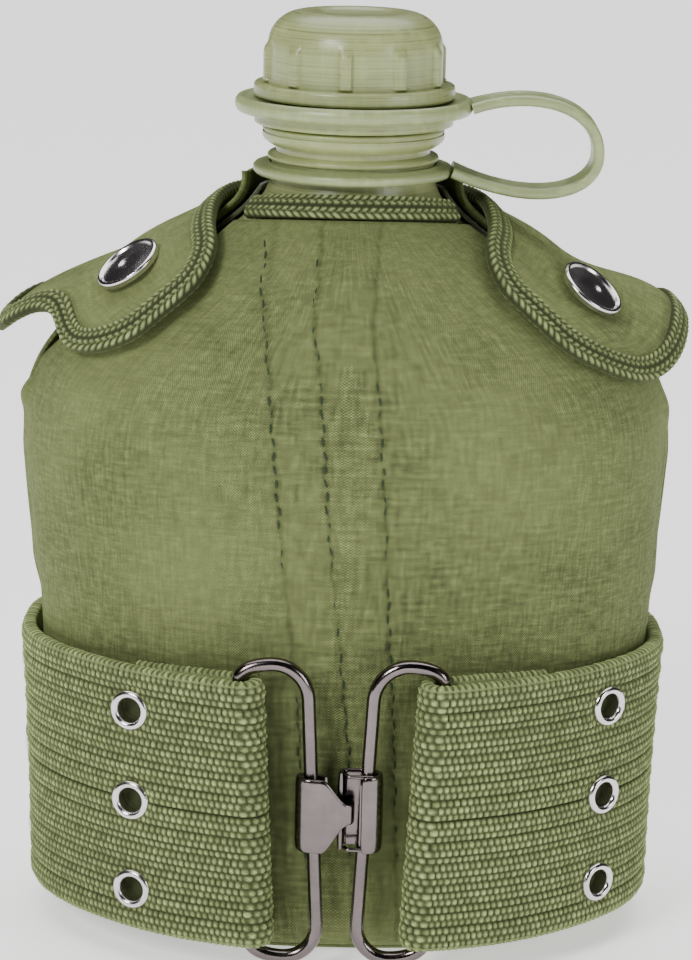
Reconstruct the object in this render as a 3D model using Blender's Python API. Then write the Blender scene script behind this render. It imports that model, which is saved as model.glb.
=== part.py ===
"""A one-quart field canteen: flask, tethered screw cap, canvas cover with two snap flaps, clasped web belt.

Metres, +Z up. The origin is the middle of the base, under the neck. The front faces -Y, the tether loops to
+X.
"""

import math

import bmesh
import bpy
from mathutils import Matrix, Vector
from mathutils.geometry import interpolate_bezier

# Clearances
GAP = 0.0004  # between touching pieces
LAYER_GAP = 0.0006  # between the flask, the lining and the canvas
RUN = 0.0005  # round a piece that turns or slides

# Flask
BASE_HALF_WIDTH = 0.0616
SHOULDER_HALF_WIDTH = 0.0670
FRONT_DEPTH = 0.0360
BACK_DEPTH = 0.0300
FRONT_SQUARE = 2.3  # superellipse exponents: 2 is an ellipse, more is squarer
BACK_SQUARE = 3.0
BODY_TOP_Z = 0.1660
SHOULDER_Z = BODY_TOP_Z - 0.0610
WIDTH_FALL = 1.4  # how late the shoulders come in, seen from the front
DEPTH_FALL = 2.0  # and seen from the side
BASE_ROUND = 0.0090
FLASK_WALL = 0.0016

# Neck
NECK_R = 0.0176
NECK_WAIST_R = 0.0166
NECK_BEAD = 0.0009
BEAD_HEIGHT = 0.0016
COLLAR_R = 0.0196
COLLAR_HEIGHT = 0.0040
THREAD_ROOT_R = 0.0158
THREAD_R = 0.0170
THREAD_LEAD = 0.0080
THREAD_FOOT = 0.0050  # from the collar to the first ridge
THREAD_RIDGE = 0.0010  # half the height of a ridge
THREAD_HEIGHT = 0.0190  # from the collar to the mouth
MOUTH_R = 0.0138

# Cap
CAP_WALL = 0.0012
CAP_ROOF = 0.0034
CAP_LIP_R = 0.0214
CAP_FLANGE_R = 0.0216
CAP_LIP_HEIGHT = 0.0025
CAP_FLANGE_HEIGHT = 0.0030
CAP_ROUND = 0.0075
CAP_RIBS = 10
CAP_RIB = 0.0010
CAP_RIB_HEIGHT = 0.0072
CAP_DISH_R = 0.0088
CAP_DISH = 0.0007
SEAL_THICKNESS = 0.0012

# Tether
RING_WIDTH = 0.0064
RING_THICKNESS = 0.0022
RING_RIM = 0.0021
RING_RIM_HEIGHT = 0.0034
NECK_RING_WIDTH = 0.0034
NECK_RING_THICKNESS = 0.0026
BAND_WIDTH = 0.0110
BAND_THICKNESS = 0.0026
BAND_REACH = 0.0270  # how far the loop stands out from the cap ring
BAND_RISE = 0.0105  # how far its end runs upright
BAND_OVER = 0.0045  # how far it arches over on the way out
BAND_UNDER = 0.0075  # and sags on the way back
CAP_LIFT = 0.0400

# Cover
LINING = 0.0010
CANVAS = 0.0010
BOTTOM_THICKNESS = 0.0016
COVER_TOP_Z = BODY_TOP_Z - 0.0088  # of the front panel's top edge
COVER_TOP_DROOP = 0.0030
BACK_TOP_Z = BODY_TOP_Z - 0.0040
BARE_RISE = 0.0170  # above the shoulder, where the front panel starts to narrow
BARE_TURN = 26.0  # degrees that it narrows by at each side
BASE_INSET = 0.0050  # of the base panel from the flask's side
TAPE_WIDTH = 0.0052
TAPE_THICKNESS = 0.0030
SEAM_TURN = 0.5  # degrees left open at each side seam

# Flaps, in degrees round the flask from the side, and heights on it
FLAP_BACK_TURN = 38.0
FLAP_FRONT_TURN = 52.0
FLAP_TIP_TURN = 42.0
FLAP_NECK_Z = BODY_TOP_Z - 0.0090
FLAP_FRONT_Z = BODY_TOP_Z - 0.0200
FLAP_HEM_Z = BODY_TOP_Z - 0.0395
FLAP_HEM_WAVE = 0.0060  # the hem rises between the front corner and the side
FLAP_WAVE_AT = 0.70  # share of the way along
FLAP_WAVE_WIDTH = 0.13
FLAP_STAND = 0.0034  # stands off the canvas over the snap
FLAP_EAR = 0.0085  # stands out further at the side
FLAP_EAR_END = 0.80  # share of the way along, short of the snap
FLAP_CORNER_R = 0.0090
SNAP_ACROSS = 0.5
SNAP_FROM_FRONT = 0.0165
SNAP_R = 0.0075
SNAP_HEIGHT = 0.0016
SOCKET_R = 0.0052
SOCKET_BORE_R = 0.0036
SOCKET_HEIGHT = 0.0016
STUD_BASE_R = 0.0045
STUD_R = 0.0018
STUD_BASE = 0.0005
STUD_HEIGHT = 0.0014

# Belt
BELT_WIDTH = 0.0570
BELT_THICKNESS = 0.0028
BELT_LOW_Z = 0.0075
BELT_EASE = 0.0012  # between the cover and the belt
BELT_OPENING = 0.0400  # between the wires inside its two folds
TAIL_END_X = 0.0410
BELT_SETTLE_X = TAIL_END_X + 6.8 * BELT_THICKNESS  # the belt lies on the cover beyond this
EYELET_COLUMNS = 6
EYELET_LEFT_X = -0.0400
EYELET_RIGHT_X = 0.0515
EYELET_SPACING = 0.0200
EYELET_R = 0.0044
EYELET_HOLE_R = 0.0026
EYELET_METAL = 0.0005
EYELET_ROLL = 0.0009  # height of its rolled rim
EYELET_BORDER = 0.0006  # of flat belt round it

# Buckle
WIRE_R = 0.0015
LOOP_INNER_X = 0.0056  # of each loop's free bar
LOOP_LEAN = 0.05  # sideways run of the bars for their height, as the belt narrows downwards
LOOP_OVER = 0.0055  # how far each loop stands past the belt's edges
LOOP_BEND = 0.0075  # height of the bend into the free bar
CLASP_HEIGHT = 0.0170
CLASP_METAL = 0.0014
CATCH_X = 0.0004
CLAW_DEPTH = 0.0040
CLASP_PLAY = 0.0017
CLASP_RUN = 0.0008  # round the leaning bars, and between the claw and the catch
CLAW_SHORTER = 0.0015  # than the catch, at each end
CLASP_BEND = 0.0010  # of their corners

# Hanger on the back
HANGER_WIDTH = 0.0300
HANGER_THICKNESS = 0.0020
HANGER_LOW_Z = 0.0720
HANGER_HIGH_Z = 0.1300
HOOK_WIRE_R = 0.0016
HOOK_HALF_WIDTH = 0.0090
HOOK_FOOT = 0.0060  # of the sewn bars above the webbing's lower edge
HOOK_LENGTH = 0.0180  # of the sewn bars
HOOK_DROP = 0.0150  # below the bars
HOOK_REACH = 0.0080  # out to the turned-up tips

# Drain grommet in the base
DRAIN_X = 0.0200
DRAIN_R = 0.0050
DRAIN_HOLE_R = 0.0030

# Worked out
BASE_Z = BOTTOM_THICKNESS + LINING + LAYER_GAP
LINING_OUT = LAYER_GAP
CANVAS_OUT = LINING_OUT + LINING + LAYER_GAP
SKIN_OUT = CANVAS_OUT + CANVAS  # the cover's outside
FLAP_LOW_OUT = SKIN_OUT + (TAPE_THICKNESS - CANVAS) / 2 + 3 * GAP
FLAP_OUT = SKIN_OUT + FLAP_STAND + GAP
NECK_RING_Z = BODY_TOP_Z - 0.0004
BEAD_Z = NECK_RING_Z + NECK_RING_THICKNESS + GAP
COLLAR_Z = BEAD_Z + 0.0034
COLLAR_TOP_Z = COLLAR_Z + COLLAR_HEIGHT
MOUTH_Z = COLLAR_TOP_Z + THREAD_HEIGHT
CAP_Z = COLLAR_TOP_Z + RUN
CAP_BORE_R = THREAD_R + RUN
GROOVE_R = CAP_BORE_R + CAP_WALL
GROOVE_Z = CAP_Z + CAP_LIP_HEIGHT
FLANGE_Z = GROOVE_Z + RING_THICKNESS + 2 * RUN
FLANGE_TOP_Z = FLANGE_Z + CAP_FLANGE_HEIGHT
CAP_ROOF_Z = MOUTH_Z + SEAL_THICKNESS + 2 * GAP
CAP_TOP_Z = CAP_ROOF_Z + CAP_ROOF
RING_Z = GROOVE_Z + RUN
RING_BORE_R = GROOVE_R + RUN
RING_R = RING_BORE_R + RING_WIDTH
BELT_OUT = SKIN_OUT + BELT_EASE + BELT_THICKNESS / 2  # its middle, where it lies on the cover
FOLD_R = WIRE_R + RUN + BELT_THICKNESS / 2
LOOP_OUTER_X = BELT_OPENING / 2
WIRE_OUT = BELT_OUT + FOLD_R
BELT_FRONT_OUT = BELT_OUT + 2 * FOLD_R
WIRE_Y = -(FRONT_DEPTH + WIRE_OUT)
BELT_MIDDLE_Z = BELT_LOW_Z + BELT_WIDTH / 2
CLASP_Z = BELT_MIDDLE_Z + 0.0005


# ---- Shape of the flask's side ----


def fall(z, lateness):
    """1 below the shoulder, easing to 0 at the neck."""
    rise = min(max((z - SHOULDER_Z) / (BODY_TOP_Z - SHOULDER_Z), 0.0), 1.0)
    return 0.5 * (1 + math.cos(math.pi * rise**lateness))


def half_width(z):
    flare = min(z / SHOULDER_Z, 1.0) ** 2
    side = BASE_HALF_WIDTH + (SHOULDER_HALF_WIDTH - BASE_HALF_WIDTH) * flare
    return NECK_R + (side - NECK_R) * fall(z, WIDTH_FALL)


def half_depth(z, depth):
    return NECK_R + (depth - NECK_R) * fall(z, DEPTH_FALL)


def base_inset(z):
    """How far the rounded lower edge draws the side in."""
    under = BASE_ROUND - (z - BASE_Z)
    return BASE_ROUND - math.sqrt(BASE_ROUND**2 - under**2) if under > 0 else 0.0


def outline(turn, z, inset=0.0):
    """The point of the flask's section at height z, turn degrees round from +X."""
    cos, sin = math.cos(math.radians(turn)), math.sin(math.radians(turn))
    depth, square = (BACK_DEPTH, BACK_SQUARE) if sin > 0 else (FRONT_DEPTH, FRONT_SQUARE)
    square = 2 + (square - 2) * fall(z, WIDTH_FALL)
    x = (half_width(z) - inset) * math.copysign(abs(cos) ** (2 / square), cos)
    y = (half_depth(z, depth) - inset) * math.copysign(abs(sin) ** (2 / square), sin)
    return Vector((x, y, z))


def facing(turn, z):
    """The outward normal of the flask's side."""
    step_turn, step_z = 0.2, 0.00002
    low = max(z - step_z, BASE_Z)
    along = outline(turn + step_turn, z, base_inset(z)) - outline(turn - step_turn, z, base_inset(z))
    up = outline(turn, z + step_z, base_inset(z + step_z)) - outline(turn, low, base_inset(low))
    return along.cross(up).normalized()


def surface(turn, z, out=0.0):
    """A point on the flask's side, pushed out along its normal."""
    return outline(turn, z, base_inset(z)) + out * facing(turn, z)


def level(turn, z, out):
    """A point of the section at height z, pushed out within that level."""
    along = outline(turn + 0.2, z) - outline(turn - 0.2, z)
    return outline(turn, z) + out * Vector((along.y, -along.x, 0)).normalized()


def turn_at(x, z, back=False):
    """Degrees round at which the front, or back, of the section reaches x."""
    square = 2 + ((BACK_SQUARE if back else FRONT_SQUARE) - 2) * fall(z, WIDTH_FALL)
    share = min(abs(x) / half_width(z), 1.0) ** (square / 2)
    turn = math.degrees(math.acos(math.copysign(share, x)))
    return turn if back else -turn


def smooth(share):
    share = min(max(share, 0.0), 1.0)
    return share * share * (3 - 2 * share)


def lerp(low, high, share):
    return low + (high - low) * share


# ---- Making objects ----


def material(name, colour, roughness, metallic=0.0):
    made = bpy.data.materials.new(name)
    made.use_nodes = True
    shader = made.node_tree.nodes["Principled BSDF"]
    shader.inputs["Base Color"].default_value = (*colour, 1)
    shader.inputs["Roughness"].default_value = roughness
    shader.inputs["Metallic"].default_value = metallic
    return made


def face_out(bm):
    """Turns a closed mesh's faces outwards."""
    bmesh.ops.recalc_face_normals(bm, faces=bm.faces[:])
    if bm.calc_volume(signed=True) < 0:
        bmesh.ops.reverse_faces(bm, faces=bm.faces[:])


def add(name, bm, finish, origin=Vector(), parent=None, flat=False):
    """An object made from a mesh in world coordinates, with its origin at a given point."""
    face_out(bm)
    bmesh.ops.translate(bm, verts=bm.verts[:], vec=-origin)
    mesh = bpy.data.meshes.new(name)
    bm.to_mesh(mesh)
    bm.free()
    mesh.materials.append(material(name, *finish))
    if not flat:
        mesh.shade_smooth()
        mesh.set_sharp_from_angle(angle=math.radians(35))
    made = bpy.data.objects.new(name, mesh)
    bpy.context.collection.objects.link(made)
    if parent is None:
        made.location = origin
    else:
        made.parent = parent
        made.location = parent.matrix_world.inverted() @ origin
    return made


def pivot(name, place):
    """An empty on a joint's axis, which the pieces that move there hang from."""
    made = bpy.data.objects.new(name, None)
    made.empty_display_size = 0.01
    made.location = place
    bpy.context.collection.objects.link(made)
    bpy.context.view_layer.update()
    return made


def ring_of(bm, points):
    verts = [bm.verts.new(point) for point in points]
    return [bm.edges.new((verts[i - 1], verts[i])) for i in range(len(verts))]


def loft(rings):
    """A closed body through rings of equal count, with flat ends."""
    bm = bmesh.new()
    loops = [ring_of(bm, ring) for ring in rings]
    for low, high in zip(loops, loops[1:]):
        bmesh.ops.bridge_loops(bm, edges=low + high)
    for end in (loops[0], loops[-1]):
        bmesh.ops.contextual_create(bm, geom=end)
    return bm


def patch(columns, rows, place):
    """A sheet with thickness: place(across, along, side) gives points, with side 0 inside and 1 outside."""
    bm = bmesh.new()
    for side in (0, 1):
        made = bmesh.ops.create_grid(bm, x_segments=columns, y_segments=rows, size=0.5)
        for vert in made["verts"]:
            vert.co = place(vert.co.x + 0.5, vert.co.y + 0.5, side)
    bmesh.ops.bridge_loops(bm, edges=[edge for edge in bm.edges if edge.is_boundary])
    return bm


def turned(profile, segments, closed=True):
    """A body of revolution about Z, from (radius, height) points. An open profile runs from axis to axis."""
    bm = bmesh.new()
    verts = [bm.verts.new((radius, 0, height)) for radius, height in profile]
    pairs = zip(verts, verts[1:] + verts[:1] if closed else verts[1:])
    edges = [bm.edges.new(pair) for pair in pairs]
    bmesh.ops.spin(
        bm, geom=verts + edges, cent=(0, 0, 0), axis=(0, 0, 1), angle=math.tau, steps=segments, use_merge=True
    )
    bmesh.ops.remove_doubles(bm, verts=bm.verts[:], dist=1e-6)
    return bm


def stand_on(bm, place, normal):
    """Turns a mesh made about +Z so that Z follows the normal, and puts its origin at place."""
    turn = Vector((0, 0, 1)).rotation_difference(normal).to_matrix().to_4x4()
    bmesh.ops.transform(bm, matrix=Matrix.Translation(place) @ turn, verts=bm.verts[:])
    return bm


def ribbon(points, thickness):
    """The closed outline of a strip of one thickness along an open line in plan."""
    sides = ([], [])
    for i, point in enumerate(points):
        ahead = points[min(i + 1, len(points) - 1)] - point
        behind = point - points[max(i - 1, 0)]
        along = (ahead.normalized() + behind.normalized()).normalized()
        across = Vector((along.y, -along.x, 0)) * (thickness / 2)
        sides[0].append(point + across)
        sides[1].append(point - across)
    return sides[0] + sides[1][::-1]


def arc(centre, radius, start, end, steps):
    """Points in plan round a centre, from start to end degrees."""
    turns = [math.radians(lerp(start, end, i / steps)) for i in range(steps + 1)]
    return [centre + radius * Vector((math.cos(t), math.sin(t), 0)) for t in turns]


def wire(name, points, radius, finish, origin, parent=None, cyclic=True):
    """A round wire through the points."""
    curve = bpy.data.curves.new(name, "CURVE")
    curve.dimensions = "3D"
    curve.bevel_depth = radius
    curve.bevel_resolution = 1
    curve.use_fill_caps = True
    line = curve.splines.new("POLY")
    line.points.add(len(points) - 1)
    for spot, point in zip(line.points, points):
        spot.co = (*(point - origin), 1)
    line.use_cyclic_u = cyclic
    line.use_smooth = True
    curve.materials.append(material(name, *finish))
    made = bpy.data.objects.new(name, curve)
    bpy.context.collection.objects.link(made)
    if parent is None:
        made.location = origin
    else:
        made.parent = parent
        made.location = parent.matrix_world.inverted() @ origin
    return made


# In half widths and half thicknesses
TAPE_SECTION = ((1, 0), (0.7, 1), (-0.7, 1), (-1, 0), (-0.7, -1), (0.7, -1))


def tape(path, out):
    """A binding tape: a flat bar along (turn, height) points on the flask's side."""
    spots = [surface(turn, z, out(turn, z)) for turn, z in path]
    rings = []
    for i, (turn, z) in enumerate(path):
        along = spots[min(i + 1, len(spots) - 1)] - spots[max(i - 1, 0)]
        normal = facing(turn, z)
        across = along.cross(normal).normalized()
        normal = across.cross(along).normalized()
        wide, tall = across * TAPE_WIDTH / 2, normal * TAPE_THICKNESS / 2
        rings.append([spots[i] + p * wide + q * tall for p, q in TAPE_SECTION])
    return loft(rings)


# ---- Finishes: colour, roughness, metallic ----

PLASTIC = ((0.17, 0.20, 0.075), 0.35)
TETHER_PLASTIC = ((0.25, 0.31, 0.12), 0.4)
CLOTH = ((0.155, 0.185, 0.075), 0.95)
FELT = ((0.10, 0.11, 0.05), 1.0)
WEBBING = ((0.125, 0.165, 0.055), 0.95)
TAPE = ((0.12, 0.16, 0.055), 0.95)
RUBBER = ((0.03, 0.03, 0.03), 0.8)
NICKEL = ((0.75, 0.74, 0.76), 0.15, 1.0)
BLACK_NICKEL = ((0.10, 0.085, 0.09), 0.22, 1.0)
BRASS = ((0.30, 0.30, 0.22), 0.35, 1.0)


# ---- Flask ----

FLASK_SIDES = 28


def circle(radius, z):
    turns = [360 * i / FLASK_SIDES for i in range(FLASK_SIDES)]
    return [Vector((radius * math.cos(math.radians(turn)), radius * math.sin(math.radians(turn)), z))
            for turn in turns]


def flask_ring(z, out=0.0):
    return [surface(360 * i / FLASK_SIDES, z, out) for i in range(FLASK_SIDES)]


def spread(low, high, count, power=1.0):
    return [lerp(low, high, (i / count) ** power) for i in range(count + 1)]


def flask_levels():
    """Heights shared by the flask and the layers over it, so that their facets lie together."""
    curved = spread(BASE_Z, BASE_Z + BASE_ROUND, 3, 1.6)
    return curved + spread(curved[-1], SHOULDER_Z, 3)[1:] + spread(SHOULDER_Z, BODY_TOP_Z, 9)[1:]


def make_flask():
    """The hollow flask: up the outside, over the mouth and down the inside."""
    outside = [flask_ring(z) for z in flask_levels()]
    thread_z = [COLLAR_TOP_Z + THREAD_FOOT + 0.5 * THREAD_LEAD * i for i in range(3)]
    bead_r = NECK_R + NECK_BEAD
    neck = [(NECK_R, BEAD_Z - GAP / 2), (bead_r, BEAD_Z + 0.2 * BEAD_HEIGHT),
            (bead_r, BEAD_Z + 0.7 * BEAD_HEIGHT), (NECK_WAIST_R, BEAD_Z + BEAD_HEIGHT),
            (NECK_WAIST_R, COLLAR_Z), (COLLAR_R, COLLAR_Z + 0.3 * COLLAR_HEIGHT), (COLLAR_R, COLLAR_TOP_Z),
            (THREAD_ROOT_R, COLLAR_TOP_Z)]
    for z in thread_z:
        neck += [(THREAD_ROOT_R, z - THREAD_RIDGE), (THREAD_R, z), (THREAD_ROOT_R, z + THREAD_RIDGE)]
    neck += [(THREAD_ROOT_R, MOUTH_Z), (MOUTH_R, MOUTH_Z), (MOUTH_R, COLLAR_Z)]
    inner_z = spread(BODY_TOP_Z - FLASK_WALL, SHOULDER_Z, 5)
    inner_z += spread(BASE_Z, BASE_Z + BASE_ROUND, 3, 1.6)[::-1]
    inside = [flask_ring(z, -FLASK_WALL) for z in inner_z]
    bm = loft(outside + [circle(*spot) for spot in neck] + inside)
    add("bottle", bm, PLASTIC)


# ---- Cap and tether ----


def make_cap(hinge):
    segments = 5 * CAP_RIBS
    side_r = GROOVE_R + 0.0001
    round_centre_r = side_r - CAP_ROUND
    round_z = CAP_TOP_Z - CAP_ROUND
    rib_top_z = FLANGE_TOP_Z + CAP_RIB_HEIGHT
    dome = [(round_centre_r + CAP_ROUND * math.sin(math.radians(t)),
             round_z + CAP_ROUND * math.cos(math.radians(t))) for t in (14, 40, 66)]
    dish_z = CAP_TOP_Z - CAP_DISH
    profile = [(0, dish_z), (CAP_DISH_R - CAP_DISH, dish_z), (CAP_DISH_R, CAP_TOP_Z)]
    profile += dome + [(side_r, rib_top_z + 0.0009), (side_r, rib_top_z), (side_r, FLANGE_TOP_Z),
                       (CAP_FLANGE_R, FLANGE_TOP_Z), (CAP_FLANGE_R, FLANGE_Z), (GROOVE_R, FLANGE_Z),
                       (GROOVE_R, GROOVE_Z), (CAP_LIP_R, GROOVE_Z), (CAP_LIP_R, CAP_Z), (CAP_BORE_R, CAP_Z),
                       (CAP_BORE_R, CAP_ROOF_Z), (0, CAP_ROOF_Z)]
    bm = turned(profile, segments, closed=False)
    for vert in bm.verts:
        on_grip = FLANGE_TOP_Z - 1e-5 < vert.co.z < rib_top_z + 1e-5
        radius = math.hypot(vert.co.x, vert.co.y)
        sector = round(math.degrees(math.atan2(vert.co.y, vert.co.x)) / 360 * segments) % 5
        if on_grip and abs(radius - side_r) < 1e-5 and sector in (0, 1):
            vert.co.x *= (side_r + CAP_RIB) / side_r
            vert.co.y *= (side_r + CAP_RIB) / side_r
    add("cap", bm, PLASTIC, hinge.location.copy(), hinge)
    seal_z, seal_r = MOUTH_Z + GAP, CAP_BORE_R - RUN
    seal = turned([(MOUTH_R, seal_z), (seal_r, seal_z), (seal_r, seal_z + SEAL_THICKNESS),
                   (MOUTH_R, seal_z + SEAL_THICKNESS)], 32)
    add("cap_seal", seal, RUBBER, hinge.location.copy(), hinge)


def make_tether(lift):
    top_z = RING_Z + RING_THICKNESS
    rim_z = RING_Z - (RING_RIM_HEIGHT - RING_THICKNESS) / 2
    rim_in_r = RING_R - RING_RIM
    profile = [(RING_BORE_R, RING_Z), (rim_in_r, RING_Z), (rim_in_r, rim_z), (RING_R, rim_z),
               (RING_R, rim_z + RING_RIM_HEIGHT), (rim_in_r, rim_z + RING_RIM_HEIGHT), (rim_in_r, top_z),
               (RING_BORE_R, top_z)]
    add("tether_cap_ring", turned(profile, 32), TETHER_PLASTIC, lift.location.copy(), lift)
    neck_ring_r = NECK_R + RUN + NECK_RING_WIDTH
    neck_top_z = NECK_RING_Z + NECK_RING_THICKNESS
    profile = [(NECK_R + RUN, NECK_RING_Z), (neck_ring_r, NECK_RING_Z), (neck_ring_r, neck_top_z),
               (NECK_R + RUN, neck_top_z)]
    add("tether_neck_ring", turned(profile, 24), TETHER_PLASTIC, Vector((0, 0, NECK_RING_Z)))
    start = Vector((RING_R + GAP, 0, RING_Z + RING_THICKNESS / 2))
    end = Vector((neck_ring_r + GAP, 0, NECK_RING_Z + NECK_RING_THICKNESS / 2))
    far = Vector((RING_R + BAND_REACH, 0, lerp(start.z, end.z, 0.65)))
    over, under = Vector((0.5 * BAND_REACH, 0, BAND_OVER)), Vector((0.62 * BAND_REACH, 0, -BAND_UNDER))
    rise = Vector((0, 0, BAND_RISE))
    path = interpolate_bezier(start, start + over, far + rise, far, 10)
    path += interpolate_bezier(far, far - rise * 0.85, end + under, end, 10)[1:]
    rings = []
    for i, point in enumerate(path):
        along = (path[min(i + 1, len(path) - 1)] - path[max(i - 1, 0)]).normalized()
        if i in (0, len(path) - 1):
            along = Vector((1 if i == 0 else -1, 0, 0))
        normal = Vector((-along.z, 0, along.x)) * BAND_THICKNESS / 2
        wide = Vector((0, BAND_WIDTH / 2, 0))
        rings.append([point + wide + normal, point - wide + normal,
                      point - wide - normal, point + wide - normal])
    add("tether_band", loft(rings), TETHER_PLASTIC, start)


# ---- Cover ----


def front_reach(z):
    """Degrees from the middle of the front to the front panel's edge."""
    bare_z = SHOULDER_Z + BARE_RISE
    bare = (z - bare_z) / (COVER_TOP_Z - bare_z)
    return 90 - SEAM_TURN - BARE_TURN * min(max(bare, 0.0), 1.0)


def front_edge_z(across):
    return COVER_TOP_Z - COVER_TOP_DROOP * across**2


def panel_rows(top_z):
    """Levels of a panel's rows below its top edge."""
    return [z for z in flask_levels()[1:] if z < top_z - 0.0015]


def make_panel(name, front, out, thickness, finish):
    """A layer over the front or back, from the base's edge to the panel's top edge."""
    rows = panel_rows(COVER_TOP_Z - COVER_TOP_DROOP if front else BACK_TOP_Z)
    columns = FLASK_SIDES // 2

    def place(across, along, side):
        turn = min(max(180 * across, SEAM_TURN), 180 - SEAM_TURN)
        row = round(along * len(rows))
        share = 2 * across - 1
        top_z = front_edge_z(share) if front else BACK_TOP_Z
        z = rows[row] if row < len(rows) else top_z
        if front:
            turn = -90 + (turn - 90) * front_reach(z) / front_reach(0)
        return surface(turn, z, out + side * thickness)

    add(name, patch(columns, len(rows), place), finish)


def make_cover():
    for label in ("front", "back"):
        make_panel(f"lining_{label}", label == "front", LINING_OUT, LINING, FELT)
        make_panel(f"cover_{label}", label == "front", CANVAS_OUT, CANVAS, CLOTH)
    base = [outline(360 * i / 40, BASE_Z, BASE_INSET) for i in range(40)]
    rings = [[Vector((p.x, p.y, z)) for p in base] for z in (0.0, BOTTOM_THICKNESS)]
    bottom = add("cover_bottom", loft(rings), CLOTH)
    drain = turned([(0, -0.01), (DRAIN_HOLE_R, -0.01), (DRAIN_HOLE_R, 0.01), (0, 0.01)], 24, closed=False)
    cut(bottom, "drain_cutter", stand_on(drain, Vector((DRAIN_X, 0, 0)), Vector((0, 0, 1))))
    barrel_r = DRAIN_HOLE_R - GAP
    low_z = BOTTOM_THICKNESS + GAP
    grommet = [(barrel_r - 0.0006, 0.0002), (barrel_r, 0.0002), (barrel_r, low_z), (DRAIN_R, low_z),
               (DRAIN_R, low_z + 0.0004), (barrel_r - 0.0006, low_z + 0.0004)]
    add("drain_grommet", stand_on(turned(grommet, 24), Vector((DRAIN_X, 0, 0)), Vector((0, 0, 1))), BRASS)
    make_top_tape()
    make_hanger()


def cut(target, name, bm):
    """Cuts a hidden mesh out of an object."""
    face_out(bm)
    mesh = bpy.data.meshes.new(name)
    bm.to_mesh(mesh)
    bm.free()
    cutter = bpy.data.objects.new(name, mesh)
    cutter.hide_render = True
    cutter.display_type = "WIRE"
    bpy.context.collection.objects.link(cutter)
    modifier = target.modifiers.new(name, "BOOLEAN")
    modifier.operation = "DIFFERENCE"
    modifier.object = cutter


def height_above(turn, z, distance, out):
    """The height reached by going up the flask's side from z by a distance."""
    start, reached = surface(turn, z, out), z
    while (surface(turn, reached, out) - start).length < distance and reached < BODY_TOP_Z + 0.01:
        reached += 0.0001
    return reached


def make_top_tape():
    """The tape over the front panel's top edge."""
    middle = CANVAS_OUT + CANVAS / 2
    path = []
    steps = 14
    for i in range(steps + 1):
        across = 2 * i / steps - 1
        z = front_edge_z(across)
        turn = -90 + across * front_reach(z)
        path.append((turn, height_above(turn, z, TAPE_WIDTH / 2 + 2 * GAP, middle)))
    add("front_top_tape", tape(path, lambda turn, z: middle), TAPE)


def make_hanger():
    """The webbing and wire hook on the back."""
    half = HANGER_WIDTH / 2

    def place(across, along, side):
        z = lerp(HANGER_LOW_Z, HANGER_HIGH_Z, along)
        turn = turn_at(lerp(-half, half, across), z, back=True)
        return surface(turn, z, SKIN_OUT + GAP + side * HANGER_THICKNESS)

    add("hanger_web", patch(4, 6, place), WEBBING)
    clear = max(HANGER_THICKNESS + 3 * GAP, BELT_EASE + BELT_THICKNESS - 2 * GAP)  # of the web and of the belt
    y = BACK_DEPTH + SKIN_OUT + clear + HOOK_WIRE_R
    low = HANGER_LOW_Z + HOOK_FOOT
    high, foot = low + HOOK_LENGTH, low - HOOK_DROP
    bend = HOOK_WIRE_R
    side = [(HOOK_HALF_WIDTH, HOOK_REACH, foot + HOOK_REACH), (HOOK_HALF_WIDTH, HOOK_REACH - bend, foot),
            (HOOK_HALF_WIDTH, bend, foot - bend), (HOOK_HALF_WIDTH, 0, foot + 3 * bend),
            (HOOK_HALF_WIDTH, 0, low), (HOOK_HALF_WIDTH, 0, high),
            (HOOK_HALF_WIDTH - 2 * bend, 0, high + 2 * bend)]
    points = [Vector((-x, y + reach, z)) for x, reach, z in side]
    points += [Vector((-p.x, p.y, p.z)) for p in reversed(points)]
    wire("hanger_hook", points, HOOK_WIRE_R, BLACK_NICKEL, Vector((0, y, high)), cyclic=False)


# ---- Flaps ----


def flap_spot(side, across, along):
    """Turn and height of a flap's point: across from the neck to the hem, along from back to front."""
    front = lerp(FLAP_FRONT_TURN, FLAP_TIP_TURN, across**2)
    turn = lerp(FLAP_BACK_TURN, -front, along)
    neck_z = lerp(FLAP_NECK_Z, FLAP_FRONT_Z, along**2)
    hem_z = FLAP_HEM_Z + FLAP_HEM_WAVE * math.exp(-(((along - FLAP_WAVE_AT) / FLAP_WAVE_WIDTH) ** 2))
    return (turn if side > 0 else 180 - turn), lerp(neck_z, hem_z, across)


def flap_stand(across, along):
    """How far the inside of a flap stands out from the flask."""
    over_snap = smooth(along / 0.35) * math.sin(math.pi * min(max(across, 0.1), 0.9))
    ear = smooth((across - 0.45) / 0.55) * math.sin(math.pi * min(along / FLAP_EAR_END, 1.0)) ** 2
    return lerp(FLAP_LOW_OUT, FLAP_OUT, over_snap) + FLAP_EAR * ear


def flap_across(along):
    """Distance from a flap's neck edge to its hem."""
    return (surface(*flap_spot(1, 0.0, along)) - surface(*flap_spot(1, 1.0, along))).length


def flap_along():
    """Length of a flap along its middle, from back to front."""
    stops = [surface(*flap_spot(1, 0.5, i / 8)) for i in range(9)]
    return sum((far - near).length for near, far in zip(stops, stops[1:]))


def flap_outline(inset, corner_r, before_front):
    """Share across at which an inset outline with round front corners starts, and a row's share along."""
    along = 1 - (inset + before_front) / flap_along()
    into = max(corner_r - before_front, 0.0)
    drawn_in = corner_r - math.sqrt(corner_r**2 - into**2)
    return (inset + drawn_in) / flap_across(along), along


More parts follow.
